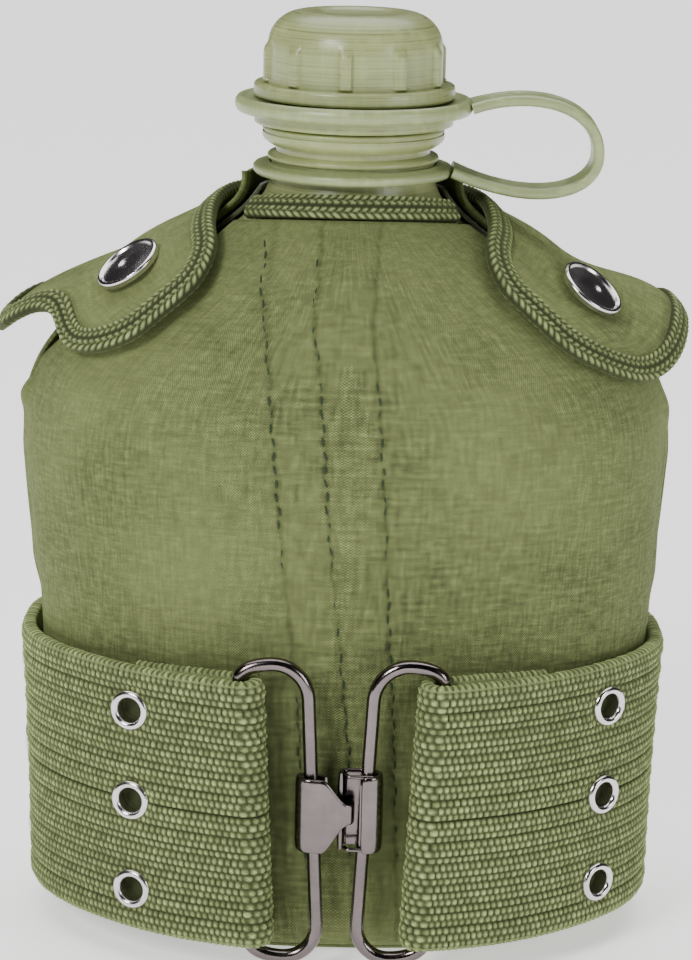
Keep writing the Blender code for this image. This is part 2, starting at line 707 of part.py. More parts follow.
def flap_panel(side):
    inset = TAPE_WIDTH + 6 * GAP
    corner_r = FLAP_CORNER_R - TAPE_WIDTH / 2 - 2 * GAP
    rows = [corner_r * (1 - math.sin(math.radians(90 * i / 4))) for i in range(5)][::-1]
    rows += spread(corner_r, flap_along() - inset, 18)[1:]
    edges = [flap_outline(inset, corner_r, row) for row in rows[::-1]]

    def place(across, along, face):
        edge, along = edges[round(along * (len(edges) - 1))]
        across = lerp(edge, 1 - edge, across)
        turn, z = flap_spot(side, across, along)
        return surface(turn, z, flap_stand(across, along) + face * CANVAS)

    return patch(8, len(edges) - 1, place)


def flap_tape(side):
    """The tape round a flap's neck, front and hem edges."""
    inset, corner_r = TAPE_WIDTH / 2, FLAP_CORNER_R
    rows = spread(flap_along() - inset - GAP, corner_r, 18)
    rows += [corner_r * (1 - math.sin(math.radians(90 * i / 6))) for i in range(1, 7)]
    neck_side = [flap_outline(inset, corner_r, row) for row in rows]
    spots = neck_side + [(1 - edge, along) for edge, along in reversed(neck_side)]
    places = [flap_spot(side, *spot) for spot in spots]
    stands = {place: flap_stand(*spot) + CANVAS / 2 for place, spot in zip(places, spots)}
    return tape(places, lambda turn, z: stands[turn, z])


def flap_axis(side):
    """A point on a flap's hinge line and the line's direction, towards the neck."""
    low = surface(*flap_spot(side, 1.0, 0.0), FLAP_LOW_OUT)
    high = surface(*flap_spot(side, 0.0, 0.0), FLAP_LOW_OUT)
    return (low + high) / 2, (high - low).normalized()


def snap_stack(side):
    """The snap's place on the flask's side: its foot, its normal, and the flap's stand there."""
    along = 1 - SNAP_FROM_FRONT / flap_along()
    spot = flap_spot(side, SNAP_ACROSS, along)
    return surface(*spot), facing(*spot), flap_stand(SNAP_ACROSS, along)


def make_snap(side, label, hinge):
    foot, normal, stand = snap_stack(side)
    stud = [(0, 0), (STUD_BASE_R, 0), (STUD_BASE_R, STUD_BASE), (STUD_R, STUD_BASE), (STUD_R, STUD_HEIGHT),
            (0, STUD_HEIGHT)]
    place = foot + normal * (SKIN_OUT + GAP)
    add(f"snap_stud_{label}", stand_on(turned(stud, 20, closed=False), place, normal), NICKEL, place)
    socket_low = stand - 2 * GAP - SOCKET_HEIGHT
    socket = [(SOCKET_BORE_R, 0), (SOCKET_R, 0), (SOCKET_R, SOCKET_HEIGHT), (SOCKET_BORE_R, SOCKET_HEIGHT)]
    bm = stand_on(turned(socket, 20), foot + normal * socket_low, normal)
    add(f"snap_socket_{label}", bm, NICKEL, hinge.location.copy(), hinge)
    dome = [(0, SNAP_HEIGHT), (0.55 * SNAP_R, SNAP_HEIGHT), (0.9 * SNAP_R, 0.62 * SNAP_HEIGHT),
            (SNAP_R, 0.2 * SNAP_HEIGHT), (SNAP_R, 0), (0, 0)]
    bm = stand_on(turned(dome, 28, closed=False), foot + normal * (stand + CANVAS + 1.5 * GAP), normal)
    add(f"snap_cap_{label}", bm, NICKEL, hinge.location.copy(), hinge)


def make_flaps():
    for side, label in ((-1, "left"), (1, "right")):
        hinge = pivot(f"flap_{label}_hinge", flap_axis(side)[0])
        add(f"flap_{label}", flap_panel(side), CLOTH, hinge.location.copy(), hinge)
        add(f"flap_tape_{label}", flap_tape(side), TAPE, hinge.location.copy(), hinge)
        make_snap(side, label, hinge)


# ---- Belt ----


def belt_out(x):
    """How far the belt's middle lies from the flask: over the tails in front, on the cover elsewhere."""
    settle = smooth((abs(x) - LOOP_OUTER_X) / (BELT_SETTLE_X - LOOP_OUTER_X))
    return lerp(BELT_FRONT_OUT, BELT_OUT, settle)


def belt_point(turn, z):
    x = outline(turn, z).x
    in_front = math.sin(math.radians(turn)) < 0
    return level(turn, z, belt_out(x) if in_front else BELT_OUT)


def bar_at(side, x, z):
    """The middle of a leaning bar of the buckle at height z, from its place at the belt's middle."""
    return Vector((side * (x + LOOP_LEAN * (z - BELT_MIDDLE_Z)), WIRE_Y, z))


def belt_lengths():
    """Turns round the belt from front left to front right, and the length of belt up to each."""
    z = BELT_MIDDLE_Z
    left, right = turn_at(-LOOP_OUTER_X - FOLD_R, z), turn_at(LOOP_OUTER_X + FOLD_R, z) - 360
    turns = [lerp(left, right, i / 400) for i in range(401)]
    places = [belt_point(turn, z) for turn in turns]
    lengths = [0.0]
    for near, far in zip(places, places[1:]):
        lengths.append(lengths[-1] + (far - near).length)
    return turns, lengths


def belt_stops():
    """Turns of the belt's corners and of each eyelet column's two sides, as it is flat under an eyelet."""
    turns, lengths = belt_lengths()
    z = BELT_MIDDLE_Z
    first = lengths[min(range(401), key=lambda i: abs(turns[i] - turn_at(EYELET_LEFT_X, z)))]
    last = lengths[min(range(401), key=lambda i: abs(turns[i] - turn_at(EYELET_RIGHT_X, z) + 360))]
    half = EYELET_R + EYELET_BORDER
    stops, columns = [0.0], []
    for i in range(EYELET_COLUMNS):
        middle = lerp(first, last, i / (EYELET_COLUMNS - 1))
        stops += spread(stops[-1], middle - half, 6)[1:]
        stops.append(middle + half)
        columns.append((middle - half, middle + half))
    stops += spread(stops[-1], lengths[-1], 6)[1:]

    def turn_of(length):
        near = min(range(401), key=lambda i: abs(lengths[i] - length))
        return turns[near]

    return [turn_of(stop) for stop in stops], [(turn_of(a), turn_of(b)) for a, b in columns]


def belt_line(z, stops):
    """The belt's middle line at height z, from the left tail round the back to the right tail."""
    tails = []
    for side in (-1, 1):
        start = side * TAIL_END_X
        wire_place = bar_at(side, LOOP_OUTER_X, z)
        places = [lerp(start, wire_place.x + side * FOLD_R, i / 4) for i in range(5)]
        tail = [level(turn_at(x, z), z, BELT_OUT) for x in places]
        folded = arc(wire_place, FOLD_R, 90, 90 + side * 180, 8)
        tails.append(tail + folded)
    middle = [belt_point(turn, z) for turn in stops]
    return tails[0] + middle + tails[1][::-1]


def belt_frame(column, z):
    """The middle of an eyelet on the belt's middle line, and the way out of its face."""
    near, far = (belt_point(turn, BELT_MIDDLE_Z) for turn in column)
    up = belt_point(column[0], BELT_LOW_Z + BELT_WIDTH) - belt_point(column[0], BELT_LOW_Z)
    share = (z - BELT_LOW_Z) / BELT_WIDTH
    low, high = ((belt_point(column[0], level_z) + belt_point(column[1], level_z)) / 2
                 for level_z in (BELT_LOW_Z, BELT_LOW_Z + BELT_WIDTH))
    return low.lerp(high, share), (near - far).cross(up).normalized()


def make_belt():
    stops, columns = belt_stops()
    rings = [ribbon(belt_line(z, stops), BELT_THICKNESS) for z in (BELT_LOW_Z, BELT_LOW_Z + BELT_WIDTH)]
    belt = add("belt_web", loft(rings), WEBBING)
    half = BELT_THICKNESS / 2
    inner_r = EYELET_HOLE_R
    outer_r = inner_r + EYELET_METAL
    profile = [(inner_r, -half), (outer_r, -half), (outer_r, half + GAP), (EYELET_R, half + GAP),
               (EYELET_R - EYELET_ROLL, half + GAP + EYELET_ROLL), (inner_r, half + GAP + 0.7 * EYELET_ROLL)]
    hole_r, depth = outer_r + GAP, 2 * FOLD_R + BELT_THICKNESS  # through the tail too
    hole = [(0, -depth), (hole_r, -depth), (hole_r, depth), (0, depth)]
    for number, column in enumerate(columns, 1):
        for row, step in enumerate((1, 0, -1), 1):
            z = BELT_MIDDLE_Z + step * EYELET_SPACING
            place, out = belt_frame(column, z)
            add(f"eyelet_{number}_{row}", stand_on(turned(profile, 10), place, out), NICKEL, place)
            punch = stand_on(turned(hole, 10, closed=False), place, out)
            cut(belt, f"hole_{number}_{row}", punch)


# ---- Buckle ----


def loop_points(side):
    """A buckle wire: down its outer bar inside the fold, round, and up its free bar."""
    low, high = BELT_LOW_Z - LOOP_OVER + WIRE_R, BELT_LOW_Z + BELT_WIDTH + LOOP_OVER - WIRE_R
    radius = (LOOP_OUTER_X - LOOP_INNER_X) / 2
    middle = (LOOP_OUTER_X + LOOP_INNER_X) / 2
    points = []
    for end_z, up in ((high, 1), (low, -1)):
        for i in range(13):
            turn = math.radians(180 * i / 12)
            cos = up * math.cos(turn)
            bend = (LOOP_OVER - WIRE_R - RUN) if cos > 0 else LOOP_BEND
            z = end_z - up * bend * (1 - math.sin(turn))
            points.append(bar_at(side, middle + radius * cos, z))
    return points


def extruded(points, thickness, low_z, high_z):
    """A strip standing on its edge."""
    flat = ribbon(points, thickness)
    return loft([[Vector((p.x, p.y, z)) for p in flat] for z in (low_z, high_z)])


def make_buckle():
    left_fold, right_fold = (bar_at(side, LOOP_OUTER_X, BELT_MIDDLE_Z) for side in (-1, 1))
    left_hinge, right_hinge = pivot("buckle_left_hinge", left_fold), pivot("buckle_right_hinge", right_fold)
    wire("buckle_wire_left", loop_points(-1), WIRE_R, BLACK_NICKEL, left_fold, left_hinge)
    wire("buckle_wire_right", loop_points(1), WIRE_R, BLACK_NICKEL, right_fold, right_hinge)
    low_z, high_z = CLASP_Z - CLASP_HEIGHT / 2, CLASP_Z + CLASP_HEIGHT / 2

    bar = bar_at(-1, LOOP_INNER_X, CLASP_Z)
    claw_hinge = pivot("claw_hinge", bar)
    claw_hinge.parent = left_hinge
    claw_hinge.location = bar - left_fold
    bpy.context.view_layer.update()
    curl_r = WIRE_R + CLASP_RUN + CLASP_METAL / 2
    claw_x = CATCH_X + CLASP_METAL + CLASP_RUN
    front_y = WIRE_Y - curl_r
    claw = arc(bar, curl_r, 20, 270, 12)
    claw += [Vector((claw_x - CLASP_BEND, front_y, CLASP_Z)), Vector((claw_x, front_y + CLASP_BEND, CLASP_Z)),
             Vector((claw_x, front_y + CLAW_DEPTH, CLASP_Z))]
    bm = extruded(claw, CLASP_METAL, low_z + CLAW_SHORTER, high_z - CLAW_SHORTER)
    add("clasp_claw", bm, BLACK_NICKEL, bar, claw_hinge)

    bar = bar_at(1, LOOP_INNER_X, CLASP_Z)
    catch_y = front_y + CLASP_METAL / 2 + CLASP_PLAY
    back_y = WIRE_Y + curl_r
    catch = [Vector((CATCH_X, catch_y, CLASP_Z)), Vector((CATCH_X, back_y - CLASP_BEND, CLASP_Z)),
             Vector((CATCH_X + CLASP_BEND, back_y, CLASP_Z))]
    catch += arc(bar, curl_r, 90, -70, 9)
    add("clasp_catch", extruded(catch, CLASP_METAL, low_z, high_z), BLACK_NICKEL, right_fold, right_hinge)


def clear_scene():
    for old in list(bpy.data.objects):
        bpy.data.objects.remove(old)


def main():
    clear_scene()
    make_flask()
    lift = pivot("cap_lift", Vector((0, 0, RING_Z)))
    turn = pivot("cap_turn", Vector((0, 0, CAP_Z)))
    make_tether(lift)
    make_cap(turn)
    make_cover()
    make_flaps()
    make_belt()
    make_buckle()


main()
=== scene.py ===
"""Looks of a one-quart field canteen: flask, tethered cap, canvas cover and clasped web belt."""

import logging
import math
from dataclasses import dataclass, field
from enum import Enum
from typing import Any, Callable, Optional, Sequence

import bmesh
import bpy
import numpy as np
from mathutils import Matrix, Vector
from mathutils.geometry import interpolate_bezier


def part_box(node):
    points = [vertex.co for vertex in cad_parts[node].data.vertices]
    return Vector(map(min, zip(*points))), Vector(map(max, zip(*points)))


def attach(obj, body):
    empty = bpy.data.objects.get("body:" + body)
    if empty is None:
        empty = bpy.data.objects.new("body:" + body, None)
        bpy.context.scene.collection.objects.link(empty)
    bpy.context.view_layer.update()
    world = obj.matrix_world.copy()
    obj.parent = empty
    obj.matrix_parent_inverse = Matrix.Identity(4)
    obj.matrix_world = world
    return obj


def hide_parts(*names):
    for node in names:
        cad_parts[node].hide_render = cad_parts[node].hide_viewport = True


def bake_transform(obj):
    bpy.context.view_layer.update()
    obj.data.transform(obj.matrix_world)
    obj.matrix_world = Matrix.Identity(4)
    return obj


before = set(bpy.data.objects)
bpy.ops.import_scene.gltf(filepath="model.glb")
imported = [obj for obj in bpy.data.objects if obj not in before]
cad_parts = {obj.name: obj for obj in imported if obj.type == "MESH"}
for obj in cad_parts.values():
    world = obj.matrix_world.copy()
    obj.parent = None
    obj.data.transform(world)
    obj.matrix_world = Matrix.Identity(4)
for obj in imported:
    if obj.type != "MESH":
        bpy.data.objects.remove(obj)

LOG = logging.getLogger("canteen")
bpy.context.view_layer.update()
MM = 0.001
GAP = 0.0004
LAYER_GAP = 0.0006
RUN = 0.0005

Laid = tuple[np.ndarray, np.ndarray, np.ndarray]
Place = Callable[[np.ndarray, np.ndarray], Laid]
Shade = tuple[float, float, float, float]
Socket = bpy.types.NodeSocket


class Body(Enum):
    """The moving bodies of the canteen."""

    CANTEEN = "canteen"
    TETHER_RING = "tether_ring"
    SCREW_CAP = "screw_cap"
    LEFT_FLAP = "left_flap"
    RIGHT_FLAP = "right_flap"
    LEFT_BUCKLE = "left_buckle"
    CLAW = "claw"
    RIGHT_BUCKLE = "right_buckle"


class Slot(Enum):
    """The record's finishes."""

    FLASK = "flask_plastic"
    TETHER = "tether_plastic"
    CANVAS = "canvas"
    FELT = "felt"
    WEBBING = "webbing"
    TAPE = "binding_tape"
    RUBBER = "seal_rubber"
    NICKEL = "nickel"
    BLACK_NICKEL = "black_nickel"
    BRASS = "brass"


class Side(Enum):
    """Left and right, as signs along X."""

    LEFT = -1
    RIGHT = 1

    @property
    def label(self) -> str:
        """The word used in node names."""
        return "left" if self is Side.LEFT else "right"


# ---- Numbers ----


def lerp(low: Any, high: Any, share: Any) -> Any:
    """A value part of the way from low to high."""
    return low + (high - low) * share


def smooth(share: Any) -> Any:
    """A share from 0 to 1, eased at both ends."""
    held = np.clip(share, 0.0, 1.0)
    return held * held * (3 - 2 * held)


def bump(value: Any, middle: float, width: float) -> Any:
    """A bell curve of height 1 about a middle."""
    return np.exp(-(((value - middle) / width) ** 2))


def scatter(cell: np.ndarray, seed: float = 0.0) -> np.ndarray:
    """A steady pseudo-random number from 0 to 1 for each cell number."""
    return np.modf(np.abs(np.sin(cell * 12.9898 + seed * 78.233) * 43758.5453))[0]


def unit(vectors: np.ndarray) -> np.ndarray:
    """Vectors brought to length 1.

    Args:
        vectors: An array whose last axis is x, y, z.

    Returns:
        The same array, each vector at length 1.
    """
    lengths = np.linalg.norm(vectors, axis=-1, keepdims=True)
    return vectors / np.maximum(lengths, 1e-12)


def nearest(share: np.ndarray, count: int) -> np.ndarray:
    """The whole step nearest to a share of a count."""
    return np.rint(share * count).astype(int)


def squared(value: np.ndarray, power: float) -> np.ndarray:
    """A sine or cosine raised to a power, with its sign kept."""
    return np.sign(value) * np.abs(value) ** power


def lengths_along(line: np.ndarray) -> np.ndarray:
    """The distance run along a line at each of its points."""
    return np.append(0, np.cumsum(np.linalg.norm(np.diff(line, axis=0), axis=1)))


def points_at(stops: Any, lengths: np.ndarray, line: np.ndarray) -> np.ndarray:
    """Points of a line at distances along it."""
    return np.stack([np.interp(stops, lengths, axis) for axis in line.T], axis=-1)


# ---- Shape of the flask's side ----


@dataclass(frozen=True)
class FlaskForm:
    """The bulged side that the flask, its lining, its cover and the belt all follow."""

    base_half_width: float = 0.0616
    shoulder_half_width: float = 0.0670
    front_depth: float = 0.0360
    back_depth: float = 0.0300
    front_square: float = 2.3
    back_square: float = 3.0
    base_z: float = 0.0032
    shoulder_z: float = 0.1050
    top_z: float = 0.1660
    width_fall: float = 1.4
    depth_fall: float = 2.0
    base_round: float = 0.0090
    neck_r: float = 0.0176

    def fall(self, z: np.ndarray, lateness: float) -> np.ndarray:
        """1 below the shoulder, easing to 0 at the neck."""
        rise = np.clip((z - self.shoulder_z) / (self.top_z - self.shoulder_z), 0.0, 1.0)
        return 0.5 * (1 + np.cos(np.pi * rise**lateness))

    def half_width(self, z: np.ndarray) -> np.ndarray:
        """Half the flask's width at height z."""
        flare = np.minimum(z / self.shoulder_z, 1.0) ** 2
        side = lerp(self.base_half_width, self.shoulder_half_width, flare)
        return self.neck_r + (side - self.neck_r) * self.fall(z, self.width_fall)

    def base_inset(self, z: np.ndarray) -> np.ndarray:
        """How far the rounded lower edge draws the side in."""
        under = np.clip(self.base_round - (z - self.base_z), 0.0, self.base_round)
        return self.base_round - np.sqrt(self.base_round**2 - under**2)

    def outline(self, turn: Any, z: Any, inset: Any = 0.0) -> np.ndarray:
        """Points of the flask's section.

        Args:
            turn: Degrees round from +X.
            z: Heights.
            inset: Distance drawn in from the side.

        Returns:
            An array of x, y, z.
        """
        turn, z, inset = np.broadcast_arrays(np.asarray(turn, float), z, inset)
        cos, sin = np.cos(np.radians(turn)), np.sin(np.radians(turn))
        back = sin > 0
        depth = np.where(back, self.back_depth, self.front_depth)
        square = np.where(back, self.back_square, self.front_square)
        square = 2 + (square - 2) * self.fall(z, self.width_fall)
        half_depth = self.neck_r + (depth - self.neck_r) * self.fall(z, self.depth_fall)
        x = (self.half_width(z) - inset) * np.copysign(np.abs(cos) ** (2 / square), cos)
        y = (half_depth - inset) * np.copysign(np.abs(sin) ** (2 / square), sin)
        return np.stack([x, y, z], axis=-1)

    def side(self, turn: Any, z: Any) -> np.ndarray:
        """Points of the section with the base's rounding."""
        z = np.asarray(z, float)
        return self.outline(turn, z, self.base_inset(z))

    def facing(self, turn: Any, z: Any) -> np.ndarray:
        """The outward normals of the side."""
        step_turn, step_z = 0.2, 0.00002
        z = np.asarray(z, float)
        turn = np.asarray(turn, float)
        along = self.side(turn + step_turn, z) - self.side(turn - step_turn, z)
        up = self.side(turn, z + step_z) - self.side(turn, np.maximum(z - step_z, self.base_z))
        return unit(np.cross(along, up))

    def surface(self, turn: Any, z: Any, out: Any = 0.0) -> np.ndarray:
        """Points on the side, pushed out along its normals."""
        return self.side(turn, z) + np.asarray(out)[..., None] * self.facing(turn, z)

    def level(self, turn: Any, z: Any, out: Any) -> np.ndarray:
        """Points of the section, pushed out within their own level."""
        turn = np.asarray(turn, float)
        along = self.outline(turn + 0.2, z) - self.outline(turn - 0.2, z)
        across = unit(np.stack([along[..., 1], -along[..., 0], np.zeros_like(along[..., 0])], axis=-1))
        return self.outline(turn, z) + np.asarray(out)[..., None] * across

    def turn_at(self, x: Any, z: Any, back: bool = False) -> np.ndarray:
        """Degrees round at which the front, or back, of the section reaches x."""
        square = 2 + ((self.back_square if back else self.front_square) - 2) * self.fall(z, self.width_fall)
        share = np.minimum(np.abs(x) / self.half_width(z), 1.0) ** (square / 2)
        turn = np.degrees(np.arccos(np.copysign(share, x)))
        return turn if back else -turn


FORM = FlaskForm()
LINING_OUT = LAYER_GAP
CANVAS_OUT = 0.0022
CANVAS = 0.0010
SKIN_OUT = CANVAS_OUT + CANVAS


# ---- Making pieces ----


def grid(columns: int, rows: int, place: Place, weld: bool = False) -> bmesh.types.BMesh:
    """A sheet of quads laid out by a rule, carrying its own cloth coordinates.

    Args:
        columns: Faces across.
        rows: Faces along.
        place: Takes shares across and along, and gives points, cloth coordinates in mm, and relief, a painted
            shade from 0, darkest, to 1.
        weld: Whether the two sides of the sheet meet and are joined into a tube.

    Returns:
        The sheet, with a UV map and a relief attribute that carries the painted shade.
    """
    bm = bmesh.new()
    uv_layer = bm.loops.layers.uv.new("cloth")
    painted_shade_layer = bm.verts.layers.float.new("relief")
    bmesh.ops.create_grid(bm, x_segments=columns, y_segments=rows, size=0.5)
    shares = np.array([vert.co[:2] for vert in bm.verts]) + 0.5
    points, cloth, relief = place(shares[:, 0], shares[:, 1])
    for vert, point, high in zip(bm.verts, points.tolist(), np.broadcast_to(relief, len(points)).tolist()):
        vert.co = point
        vert[painted_shade_layer] = high
    bm.verts.index_update()
    spots = cloth.tolist()
    for face in bm.faces:
        for loop in face.loops:
            loop[uv_layer].uv = spots[loop.vert.index]
    if weld:
        bmesh.ops.remove_doubles(bm, verts=[v for v in bm.verts if v.is_boundary], dist=1e-6)
    return bm


def cap_ends(bm: bmesh.types.BMesh) -> bmesh.types.BMesh:
    """Closes a tube's two open ends."""
    bmesh.ops.holes_fill(bm, edges=[edge for edge in bm.edges if edge.is_boundary], sides=0)
    return bm


def face_out(bm: bmesh.types.BMesh) -> bmesh.types.BMesh:
    """Turns a closed mesh's faces outwards."""
    bmesh.ops.recalc_face_normals(bm, faces=bm.faces[:])
    if bm.calc_volume(signed=True) < 0:
        bmesh.ops.reverse_faces(bm, faces=bm.faces[:])
    return bm


def turned(profile: Sequence[tuple[float, float]], steps: int, closed: bool = True) -> bmesh.types.BMesh:
    """A body of revolution about Z.

    Args:
        profile: Radii and heights.
        steps: Faces round.
        closed: Whether the profile is a loop; an open one runs from axis to axis.

    Returns:
        The body, facing outwards.
    """
    bm = bmesh.new()
    verts = [bm.verts.new((radius, 0, height)) for radius, height in profile]
    pairs = zip(verts, verts[1:] + verts[:1] if closed else verts[1:])
    edges = [bm.edges.new(pair) for pair in pairs]
    bmesh.ops.spin(
        bm, geom=verts + edges, cent=(0, 0, 0), axis=(0, 0, 1), angle=math.tau, steps=steps, use_merge=True
    )
    bmesh.ops.remove_doubles(bm, verts=bm.verts[:], dist=1e-6)
    return face_out(bm)


def stand_on(bm: bmesh.types.BMesh, place: Sequence[float], normal: Sequence[float]) -> bmesh.types.BMesh:
    """Turns a mesh made about +Z so that Z follows a normal, and moves its origin to a place."""
    turn = Vector((0, 0, 1)).rotation_difference(Vector(normal)).to_matrix().to_4x4()
    bmesh.ops.transform(bm, matrix=Matrix.Translation(Vector(place)) @ turn, verts=bm.verts[:])
    return bm


def tube(points: np.ndarray, radii: Any, sides: int = 16, closed: bool = False) -> bmesh.types.BMesh:
    """A round wire along a line.

    Args:
        points: The line, as an array of x, y, z.
        radii: One radius, or one for each point.
        sides: Faces round.
        closed: Whether the line is a loop.

    Returns:
        The closed wire.
    """
    count = len(points)
    radii = np.broadcast_to(radii, count)
    if closed:
        points = np.vstack([points, points[:1]])
        radii = np.append(radii, radii[0])
        ahead = np.vstack([points[1:], points[1:2]])
        behind = np.vstack([points[-2:-1], points[:-1]])
    else:
        ahead = np.vstack([points[1:], points[-1:]])
        behind = np.vstack([points[:1], points[:-1]])
    along = unit(ahead - behind)
    across = [Vector(along[0]).orthogonal().normalized()]
    for near, far in zip(along, along[1:]):
        across.append(Vector(near).rotation_difference(Vector(far)) @ across[-1])
    if closed:
        twist = across[-1].angle(across[0], 0.0)
        sign = 1 if across[-1].cross(across[0]).dot(Vector(along[0])) > 0 else -1
        across = [Matrix.Rotation(sign * twist * i / count, 3, Vector(along[i])) @ way
                  for i, way in enumerate(across)]
    wide = np.array([tuple(a) for a in across])
    high = np.cross(along, wide)
    lengths = lengths_along(points)

    def place(across_share: np.ndarray, along_share: np.ndarray) -> Laid:
        """A point of the wire's skin."""
        row = nearest(along_share, len(points) - 1)
        turn = math.tau * np.rint(across_share * sides) / sides % math.tau
        reach = np.cos(turn)[:, None] * wide[row] + np.sin(turn)[:, None] * high[row]
        cloth = np.stack([lengths[row], across_share * sides * MM], axis=-1) / MM
        return points[row] + radii[row][:, None] * reach, cloth, np.ones(len(row))

    bm = grid(sides, len(points) - 1, place, weld=True)
    return face_out(bm if closed else cap_ends(bm))


@dataclass
class Piece:
    """One finished piece, and what it rides on and stands for."""

    name: str
    finish: "Finish"
    body: Optional[Body]
    slot: Slot
    replaces: tuple[str, ...] = ()
    crease: float = 35.0

    def add(self, bm: bmesh.types.BMesh, thickness: float = 0.0) -> bpy.types.Object:
        """Makes the object.

        Args:
            bm: The mesh, in the canteen's own frame.
            thickness: A wall grown inwards from an open sheet, or 0.

        Returns:
            The object, at the origin, with its finish.
        """
        mesh = bpy.data.meshes.new(self.name)
        bm.to_mesh(mesh)
        bm.free()
        mesh.materials.append(self.finish.material())
        mesh.shade_smooth()
        mesh.set_sharp_from_angle(angle=math.radians(self.crease))
        made = bpy.data.objects.new(self.name, mesh)
        bpy.context.scene.collection.objects.link(made)
        if thickness:
            wall = made.modifiers.new("wall", "SOLIDIFY")
            wall.thickness = thickness
            wall.offset = -1.0
        if self.body is not None:
            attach(made, self.body.value)
        if self.replaces:
            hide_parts(*self.replaces)
        LOG.info("%s: %d faces", self.name, len(mesh.polygons))
        return made


# ---- Node trees ----


class Tree:
    """A node tree being built, one short call for each node."""

    def __init__(self, tree: bpy.types.NodeTree) -> None:
        """Starts on a tree."""
        self.tree = tree

    def node(self, kind: str, settings: Optional[dict[str, Any]] = None, **inputs: Any) -> bpy.types.Node:
        """Adds a node.

        Args:
            kind: Its type, without the leading ShaderNode.
            settings: Properties to set on it.
            **inputs: Values or sockets for its inputs, with _ for a space in their names.

        Returns:
            The node.
        """
        made = self.tree.nodes.new(f"ShaderNode{kind}")
        for key, value in (settings or {}).items():
            setattr(made, key, value)
        for key, value in inputs.items():
            self.feed(made.inputs[key.replace("_", " ")], value)
        return made

    def feed(self, socket: Socket, value: Any) -> None:
        """Links a socket into an input, or sets the input's value."""
        if isinstance(value, bpy.types.NodeSocket):
            self.tree.links.new(value, socket)
        else:
            socket.default_value = value

    def sum(self, operation: str, *values: Any) -> Socket:
        """A Math node's result."""
        made = self.tree.nodes.new("ShaderNodeMath")
        made.operation = operation
        for socket, value in zip(made.inputs, values):
            self.feed(socket, value)
        return made.outputs[0]

    def noise(self, vector: Socket, scale: float, detail: float = 3.0, rough: float = 0.6) -> Socket:
        """A noise from 0 to 1."""
        made = self.node("TexNoise", Vector=vector, Scale=scale, Detail=detail, Roughness=rough)
        return made.outputs["Fac"]

    def stretch(self, vector: Socket, x: float, y: float, z: float = 1.0) -> Socket:
        """A vector scaled by its axes."""
        made = self.node("Mapping", Vector=vector, Scale=(x, y, z))
        return made.outputs["Vector"]

    def span(self, value: Socket, low: float, high: float, new_low: float = 0.0,
             new_high: float = 1.0) -> Socket:
        """A value carried from one range to another, and held inside it."""
        made = self.node("MapRange", {"clamp": True}, Value=value, From_Min=low, From_Max=high,
                         To_Min=new_low, To_Max=new_high)
        return made.outputs["Result"]

    def blend(self, share: Any, low: Any, high: Any, mode: str = "MIX") -> Socket:
        """Two colours mixed."""
        made = self.tree.nodes.new("ShaderNodeMix")
        made.data_type = "RGBA"
        made.blend_type = mode
        for socket, value in zip((made.inputs[0], made.inputs[6], made.inputs[7]), (share, low, high)):
            self.feed(socket, value)
        return made.outputs[2]

    def group(self, tree: bpy.types.NodeTree, **inputs: Any) -> bpy.types.Node:
        """Adds a group with its own values."""
        made = self.tree.nodes.new("ShaderNodeGroup")
        made.node_tree = tree
        for key, value in inputs.items():
            self.feed(made.inputs[key.replace("_", " ")], value)
        return made


def colour(red: float, green: float, blue: float) -> Shade:
    """A colour with full alpha."""
    return (red, green, blue, 1.0)


def tinted(shade: Shade, share: float) -> Shade:
    """A colour made lighter or darker."""
    return (shade[0] * share, shade[1] * share, shade[2] * share, 1.0)


